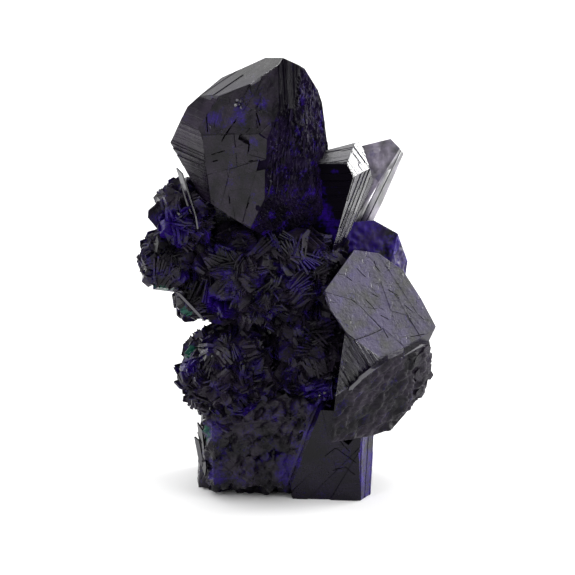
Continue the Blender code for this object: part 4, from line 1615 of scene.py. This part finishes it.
# %% Lower plate
def grow_lower_plate():
    """The dark rough plate under the leaning one."""
    pick = random.Random(44)
    planes = planes_of(LOWER_PLATE)
    plate = hew("lower_plate", LOWER_PLATE)
    roughen(plate, planes, ("broad", "left_facet", "back"), 0.18,
            ("CLOUDS", 2.4, 0.9, {"stretch": 1.6, "turn": (0, 50, 0), "level": 0.4}),
            ("CLOUDS", 0.6, 0.20, {"stretch": 4.0, "turn": (0, 50, 0)}))
    striate(plate, planes["top_left"], PLATE_GROOVE, pick, count=40, rise=0.09, share=0.6, lean=14.0)
    flakes = flaked(planes, "broad", 10, 1.1, pick, tilt=0.15, heading=-40, wander=15)
    plate = joined("lower_plate", [plate] + flakes)
    dress(plate, azurite("lower_plate_stone", blue=0.18, patch=1.4, shine=1.24, veil=WARM_VEIL, gloss=0.26,
                         satin=0.24, grain=0.2, relief=0.02, fibres=(3.0, 0.14, 0.05)))
    dress_grooved(plate, "lower_plate_grooves", planes, "top_left", PLATE_GROOVE, **BRIGHT_GROOVES)
    dress(plate, azurite("lower_plate_strip", **BRIGHT_STRIP), planes["edge_strip"], above=0.1, spread=0.99)
    return plate


settle(grow_lower_plate())

# %% [markdown]
# ## Wide foot crystal
#
# Two broken crystals carry the cluster. The wide one has shell-like fracture marks, and flakes on
# its sloping top. The shells could be cut one by one, but they run into each other, which three
# textures together do by themselves.

# %% Wide foot crystal
LEFT_GREEN = [((-10.6, -2.6, 19.4), 1.3), ((-8.6, -2.8, 17.4), 1.0), ((-8.4, -2.6, 13.4), 0.9),
              ((-6.4, -3.4, 6.4), 1.6)]
BEVEL_GROOVE = (-0.3, 0.0, -1.0)
FOOT_GLOW = [((3.2, -5.9, 9.2), 1.6), ((-6.6, -4.6, 2.9), 1.8), ((0.4, -5.1, 3.0), 1.8),
             ((-6.2, -4.6, 6.6), 1.4)]


def grow_foot_block():
    """The wide foot crystal."""
    pick = random.Random(51)
    planes = planes_of(FOOT_BLOCK)
    foot = hew("foot_block", FOOT_BLOCK)
    striate(foot, planes["right_bevel"], BEVEL_GROOVE, pick, count=6, rise=0.05)
    roughen(foot, planes, ("front", "left", "back", "shoulder", "lower_bevel"), 0.24,
            ("CLOUDS", 3.0, 1.5, {"stretch": 1.5, "turn": (0, 40, 0)}),
            ("VORONOI", 3.0, 1.2, {"stretch": 1.9, "turn": (20, 40, 0), "level": 0.35}),
            ("CLOUDS", 0.8, 0.35, {"stretch": 4.0, "turn": (0, 50, 0)}))
    flakes = flaked(planes, "shoulder", 16, 1.1, pick, lift=-0.3, tilt=0.6)
    foot = joined("foot_block", [foot] + flakes)
    dress(foot, azurite("foot_stone", blue=0.31, patch=1.3, shine=1.28, veil=WARM_VEIL, gloss=0.16,
                        satin=0.24, relief=0.012, fibres=(2.6, 0.15, 0.06), green=LEFT_GREEN,
                        glow=FOOT_GLOW))
    dress_grooved(foot, "foot_bevel", planes, "right_bevel", BEVEL_GROOVE, blue=0.52, patch=1.2,
                  shine=1.35, gloss=0.2, satin=0.2, pitch=0.3, ridge=0.05)
    return foot


settle(grow_foot_block())

# %% [markdown]
# ## Narrow foot crystal
#
# The narrow one is smooth, with curved cracks, a dark hollow at its top and a deep blue right side.
# A smooth break could be left as one flat face, but a few scores divide it into flats that each
# catch another light, and the hollow is cut as a very wide crack.

# %% Narrow foot crystal
COLUMN_SCORES = [
    ((3.4, -4.4, 3.6), (5.0, -4.7, 5.3)), ((5.0, -4.7, 5.3), (6.6, -4.9, 5.2)),
    ((4.4, -4.5, 2.5), (6.1, -4.8, 4.3)), ((5.0, -4.5, 1.6), (6.3, -4.8, 3.8)),
    ((3.8, -4.7, 6.8), (4.5, -4.6, 3.7)),
]
COLUMN_CRACKS = [
    [(3.7, -4.5, 4.3), (4.6, -4.7, 5.1), (5.5, -4.7, 4.4), (6.5, -4.8, 3.8)],
    [(4.4, -4.5, 2.9), (5.5, -4.6, 3.3), (6.4, -4.7, 2.6)], [(5.0, -4.8, 5.8), (5.9, -4.8, 4.7)],
]
COLUMN_HOLLOW = [((4.9, -4.8, 6.5), (6.0, -4.8, 5.7))]


def grow_foot_column():
    """The narrow foot crystal."""
    pick = random.Random(61)
    planes = planes_of(FOOT_COLUMN)
    foot = hew("foot_column", FOOT_COLUMN)
    stepped(foot, planes["front"], COLUMN_SCORES, 0.14, 3.0, pick)
    cracked(foot, planes["front"], COLUMN_CRACKS)
    cracked(foot, planes["front"], COLUMN_HOLLOW, width=0.7, depth=0.7)
    striate(foot, planes["right"], (0.1, 0.0, 1.0), pick, count=10, rise=0.06)
    striate(foot, planes["back"], (0.1, 0.0, 1.0), pick, count=14, rise=0.10)
    dress(foot, azurite("column_stone", blue=0.14, shine=1.28, gloss=0.12, satin=0.2, swell=0.06,
                        relief=0.008, fibres=(3.5, 0.14, 0.012)))
    dress_grooved(foot, "column_blue", planes, "right", (0, 0, 1), blue=0.60, patch=1.8, shine=1.3,
                  gloss=0.2, satin=0.2, pitch=0.4, ridge=0.04)
    return foot


settle(grow_foot_column())

# %% [markdown]
# ## Rear crystals
#
# Three stout crystals carry the back. Little is known of them, so they show what the front shows:
# striated prism faces, rough sides, and crusts of green malachite in the hollows. One loop grows all
# three, because they differ only in their faces and in how their grooves run.

# %% Rear crystals
BACK_GREEN = [((-4.0, 8.0, 21.0), 2.6), ((1.0, 8.4, 9.0), 2.2), ((5.6, 7.6, 15.6), 1.8)]


def grow_rear():
    """The three crystals of the back, joined in one piece."""
    pick = random.Random(71)
    made = []
    for name, crystal, groove in (("rear_crown", REAR_CROWN, (0.2, 0.0, 1.0)),
                                  ("rear_slab", REAR_SLAB, (1.0, 0.0, -0.3)),
                                  ("rear_foot", REAR_FOOT, (0.1, 0.0, 1.0))):
        planes = planes_of(crystal)
        rear = hew(name, crystal)
        striate(rear, planes["back"], groove, pick, count=44, rise=0.16, lean=8.0, breaks=0.8)
        side = planes["back_left" if "back_left" in planes else "back_right"]
        striate(rear, side, (0.1, 0.2, 1.0), pick, count=16, rise=0.1)
        roughen(rear, planes, ("left", "right", "top"), 0.2,
                ("CLOUDS", 1.6, 0.5, {"stretch": 1.6, "turn": (0, 30, 0)}))
        made.append(rear)
    rear = joined("rear_crystals", made)
    dress(rear, azurite("rear_stone", blue=0.22, patch=1.5, gloss=0.16, satin=0.2, swell=0.05,
                        relief=0.01, green=BACK_GREEN))
    return rear


settle(grow_rear())

# %% [markdown]
# ## Rosettes
#
# What fills the middle, the left and the lobe above the foot is a jumble of small crystals: stout
# ones that make the large bumps, fans between them, and fine blades over all. A rough ball alone
# would look like slag, and blades of one size like straw, so all three grow on each ball.

# %% Rosettes
LUMPS = {  # middle and half sizes; counts of stout crystals, fans and blades; how much they stand
    "upper_left": ((-8.8, -0.8, 25.6), (2.5, 3.3, 3.0), (20, 66, 76), 0.35),
    "left_tip": ((-10.3, -0.4, 21.6), (2.5, 3.3, 2.4), (16, 66, 76), 0.3),
    "left_low": ((-7.6, -0.4, 18.4), (2.2, 2.8, 2.1), (14, 50, 66), 0.3),
    "middle": ((-2.1, -0.4, 20.2), (6.9, 4.6, 4.8), (56, 320, 190), 0.2),
    "lobe": ((-4.7, -1.5, 11.1), (4.5, 4.4, 4.4), (34, 230, 290), 0.25),
    "waist": ((2.9, -1.4, 12.8), (3.8, 4.6, 5.2), (30, 170, 150), 0.2),
    "core": ((-0.4, 2.6, 19.0), (7.2, 4.0, 9.4), (40, 160, 240), 0.45),
    "foot_core": ((1.4, 1.0, 8.4), (5.4, 4.2, 5.6), (16, 60, 100), 0.4),
    "rear_step": ((4.6, 4.0, 19.6), (4.4, 3.4, 4.2), (20, 80, 140), 0.4),
    "rear_hollow": ((-0.6, 5.6, 18.4), (5.6, 2.8, 2.8), (10, 110, 120), 0.3),
    "rear_seam": ((-0.4, 5.2, 8.4), (2.4, 2.6, 5.0), (8, 80, 90), 0.3),
}
CRUMB_GLOW = [((-9.8, -3.6, 25.2), 2.2), ((-6.4, -4.4, 24.6), 1.8), ((2.4, -4.6, 22.6), 1.6),
              ((3.5, -5.4, 10.4), 2.2), ((-3.4, -5.6, 7.6), 2.0), ((-6.0, -4.6, 18.4), 1.8),
              ((-8.6, -3.4, 12.6), 1.6)]


def grow_lump(name, seed):
    """One lump with everything that grows on it."""
    middle, half, (stout, fans, blades), stand = LUMPS[name]
    pick = random.Random(seed)
    lump = (middle, half)
    stouts = [SINGLES["wedge"], SINGLES["chunk"]]
    fine = [SINGLES["blade"], SINGLES["needle"], SINGLES["flake"]]
    grown = [ground(f"{name}_ground", lump)]
    grown += plant(lump, stouts, stout, pick, size=1.5, domains=max(8, stout // 3), stand=0.25,
                   wayward=0.4, sunk=0.72, margin=-0.4)
    grown += plant(lump, FANS, fans, pick, size=1.0, domains=max(6, fans // 16), stand=stand,
                   wayward=0.16, sunk=0.45, edge_on=0.8)
    grown += plant(lump, fine, blades, pick, size=0.7, domains=max(8, blades // 14), stand=stand,
                   wayward=0.25, edge_on=0.4)
    return grown


def grow_rosettes(name, lumps, material, seed):
    """Several lumps joined in one piece."""
    parts = []
    for step, lump in enumerate(lumps):
        parts += grow_lump(lump, seed + step)
    piece = joined(name, parts)
    dress(piece, material)
    return piece


crumb = azurite("rosette_stone", blue=0.37, patch=1.2, shine=1.26, veil=WARM_VEIL, gloss=0.16, satin=0.24,
                relief=0.006, fibres=(1.6, 0.09, 0.016), green=LEFT_GREEN, glow=CRUMB_GLOW)
settle(grow_rosettes("middle_rosettes", ["middle", "waist"], crumb, 81))
settle(grow_rosettes("left_rosettes", ["upper_left", "left_tip", "left_low"], crumb, 85))
settle(grow_rosettes("lobe_rosettes", ["lobe", "foot_core"], crumb, 88))
settle(grow_rosettes("rear_rosettes", ["core", "rear_step", "rear_hollow", "rear_seam"], crumb, 91))

# %% [markdown]
# ## Loose slivers
#
# A few thin blades stand clear of the mass and mirror the white of the room, under the crown's left
# edge, at the left tip, along the plate's lower edge and beside the foot. Each could be cut by its
# own planes, but the blade mould has the right ends already, so it is only stretched from one place
# to another.

# %% Slivers
SLIVERS = [  # from, to, width and thickness in millimetres, then where the flat side looks
    ((9.2, -7.85, 14.55), (7.6, -8.60, 13.75), 0.45, 0.2, 32, 16),
    ((8.1, -8.35, 13.95), (6.4, -9.20, 12.85), 0.40, 0.2, 30, 8),
    ((6.8, -9.00, 13.05), (5.6, -9.70, 12.10), 0.35, 0.2, 28, 0),
    ((10.6, -7.00, 15.00), (8.8, -7.95, 14.45), 0.40, 0.2, 32, 20),
    ((-9.3, -3.4, 30.7), (-7.6, -4.7, 25.4), 0.9, 0.14, -68, 6),
    ((-8.9, -3.4, 29.6), (-8.0, -4.3, 26.6), 0.7, 0.14, -40, 20),
    ((-9.6, -3.7, 19.5), (-7.0, -3.9, 16.7), 0.3, 0.12, -66, 30),
    ((-7.6, -2.9, 6.8), (-7.1, -3.0, 1.8), 0.8, 0.16, -60, 2),
    ((-7.9, -2.6, 5.4), (-7.4, -2.7, 2.6), 0.6, 0.16, -50, 8),
]


def sliver(start, end, width, thick, azimuth, tilt):
    """One thin blade from one place to another."""
    start, end = mm(start), mm(end)
    turn = turned((end - start).normalized(), facing(azimuth, tilt))
    blade_width, blade_thick, blade_length = MOULDS["blade"][0]
    size = Matrix.Diagonal((width / blade_width, thick / blade_thick,
                            (end - start).length / MM / blade_length, 1))
    return planted(SINGLES["blade"], Matrix.Translation((start + end) / 2) @ turn @ size)


blades = [sliver(*shape) for shape in SLIVERS]
print(len(blades), "slivers")

# %% [markdown]
# ## Sparkles
#
# Here and there a nest of tiny bright flakes catches the lamps. Glossier spots in the finish could
# shine too, but only where their face mirrors a lamp, and flakes that look every way always have one
# that does.

# %% Sparkles
SPARKLES = [  # middle, radius and number of flakes
    ((-3.9, -4.55, 36.7), 0.35, 22),
    ((3.5, -5.4, 10.6), 0.6, 14),
    ((-8.9, -3.4, 26.4), 0.7, 12),
    ((-6.2, -4.8, 13.6), 1.0, 22),
]


def sparkle(place, radius, count, pick):
    """A nest of tiny bright flakes that look every way."""
    return [planted(SINGLES["flake"], Matrix.Translation(mm(place) + stray(pick, radius) * MM)
                    @ Matrix.Rotation(pick.uniform(0, 2 * math.pi), 4, stray(pick, 1))
                    @ Matrix.Scale(pick.uniform(0.1, 0.24), 4)) for _ in range(count)]


sparkle_pick = random.Random(97)
nests = [flake for nest in SPARKLES for flake in sparkle(*nest, sparkle_pick)]
slivers = joined("slivers", blades + nests)
dress(slivers, azurite("sliver_stone", blue=0.1, shine=1.75, gloss=0.1, satin=0.1))
settle(slivers)

# %% [markdown]
# ## Last cell
#
# The moulds are put away.

# %% Putting the moulds away
for source in list(SINGLES.values()) + FANS:
    bpy.data.objects.remove(source)
print("faces in all:", sum(len(piece.data.polygons) for piece in PIECES))
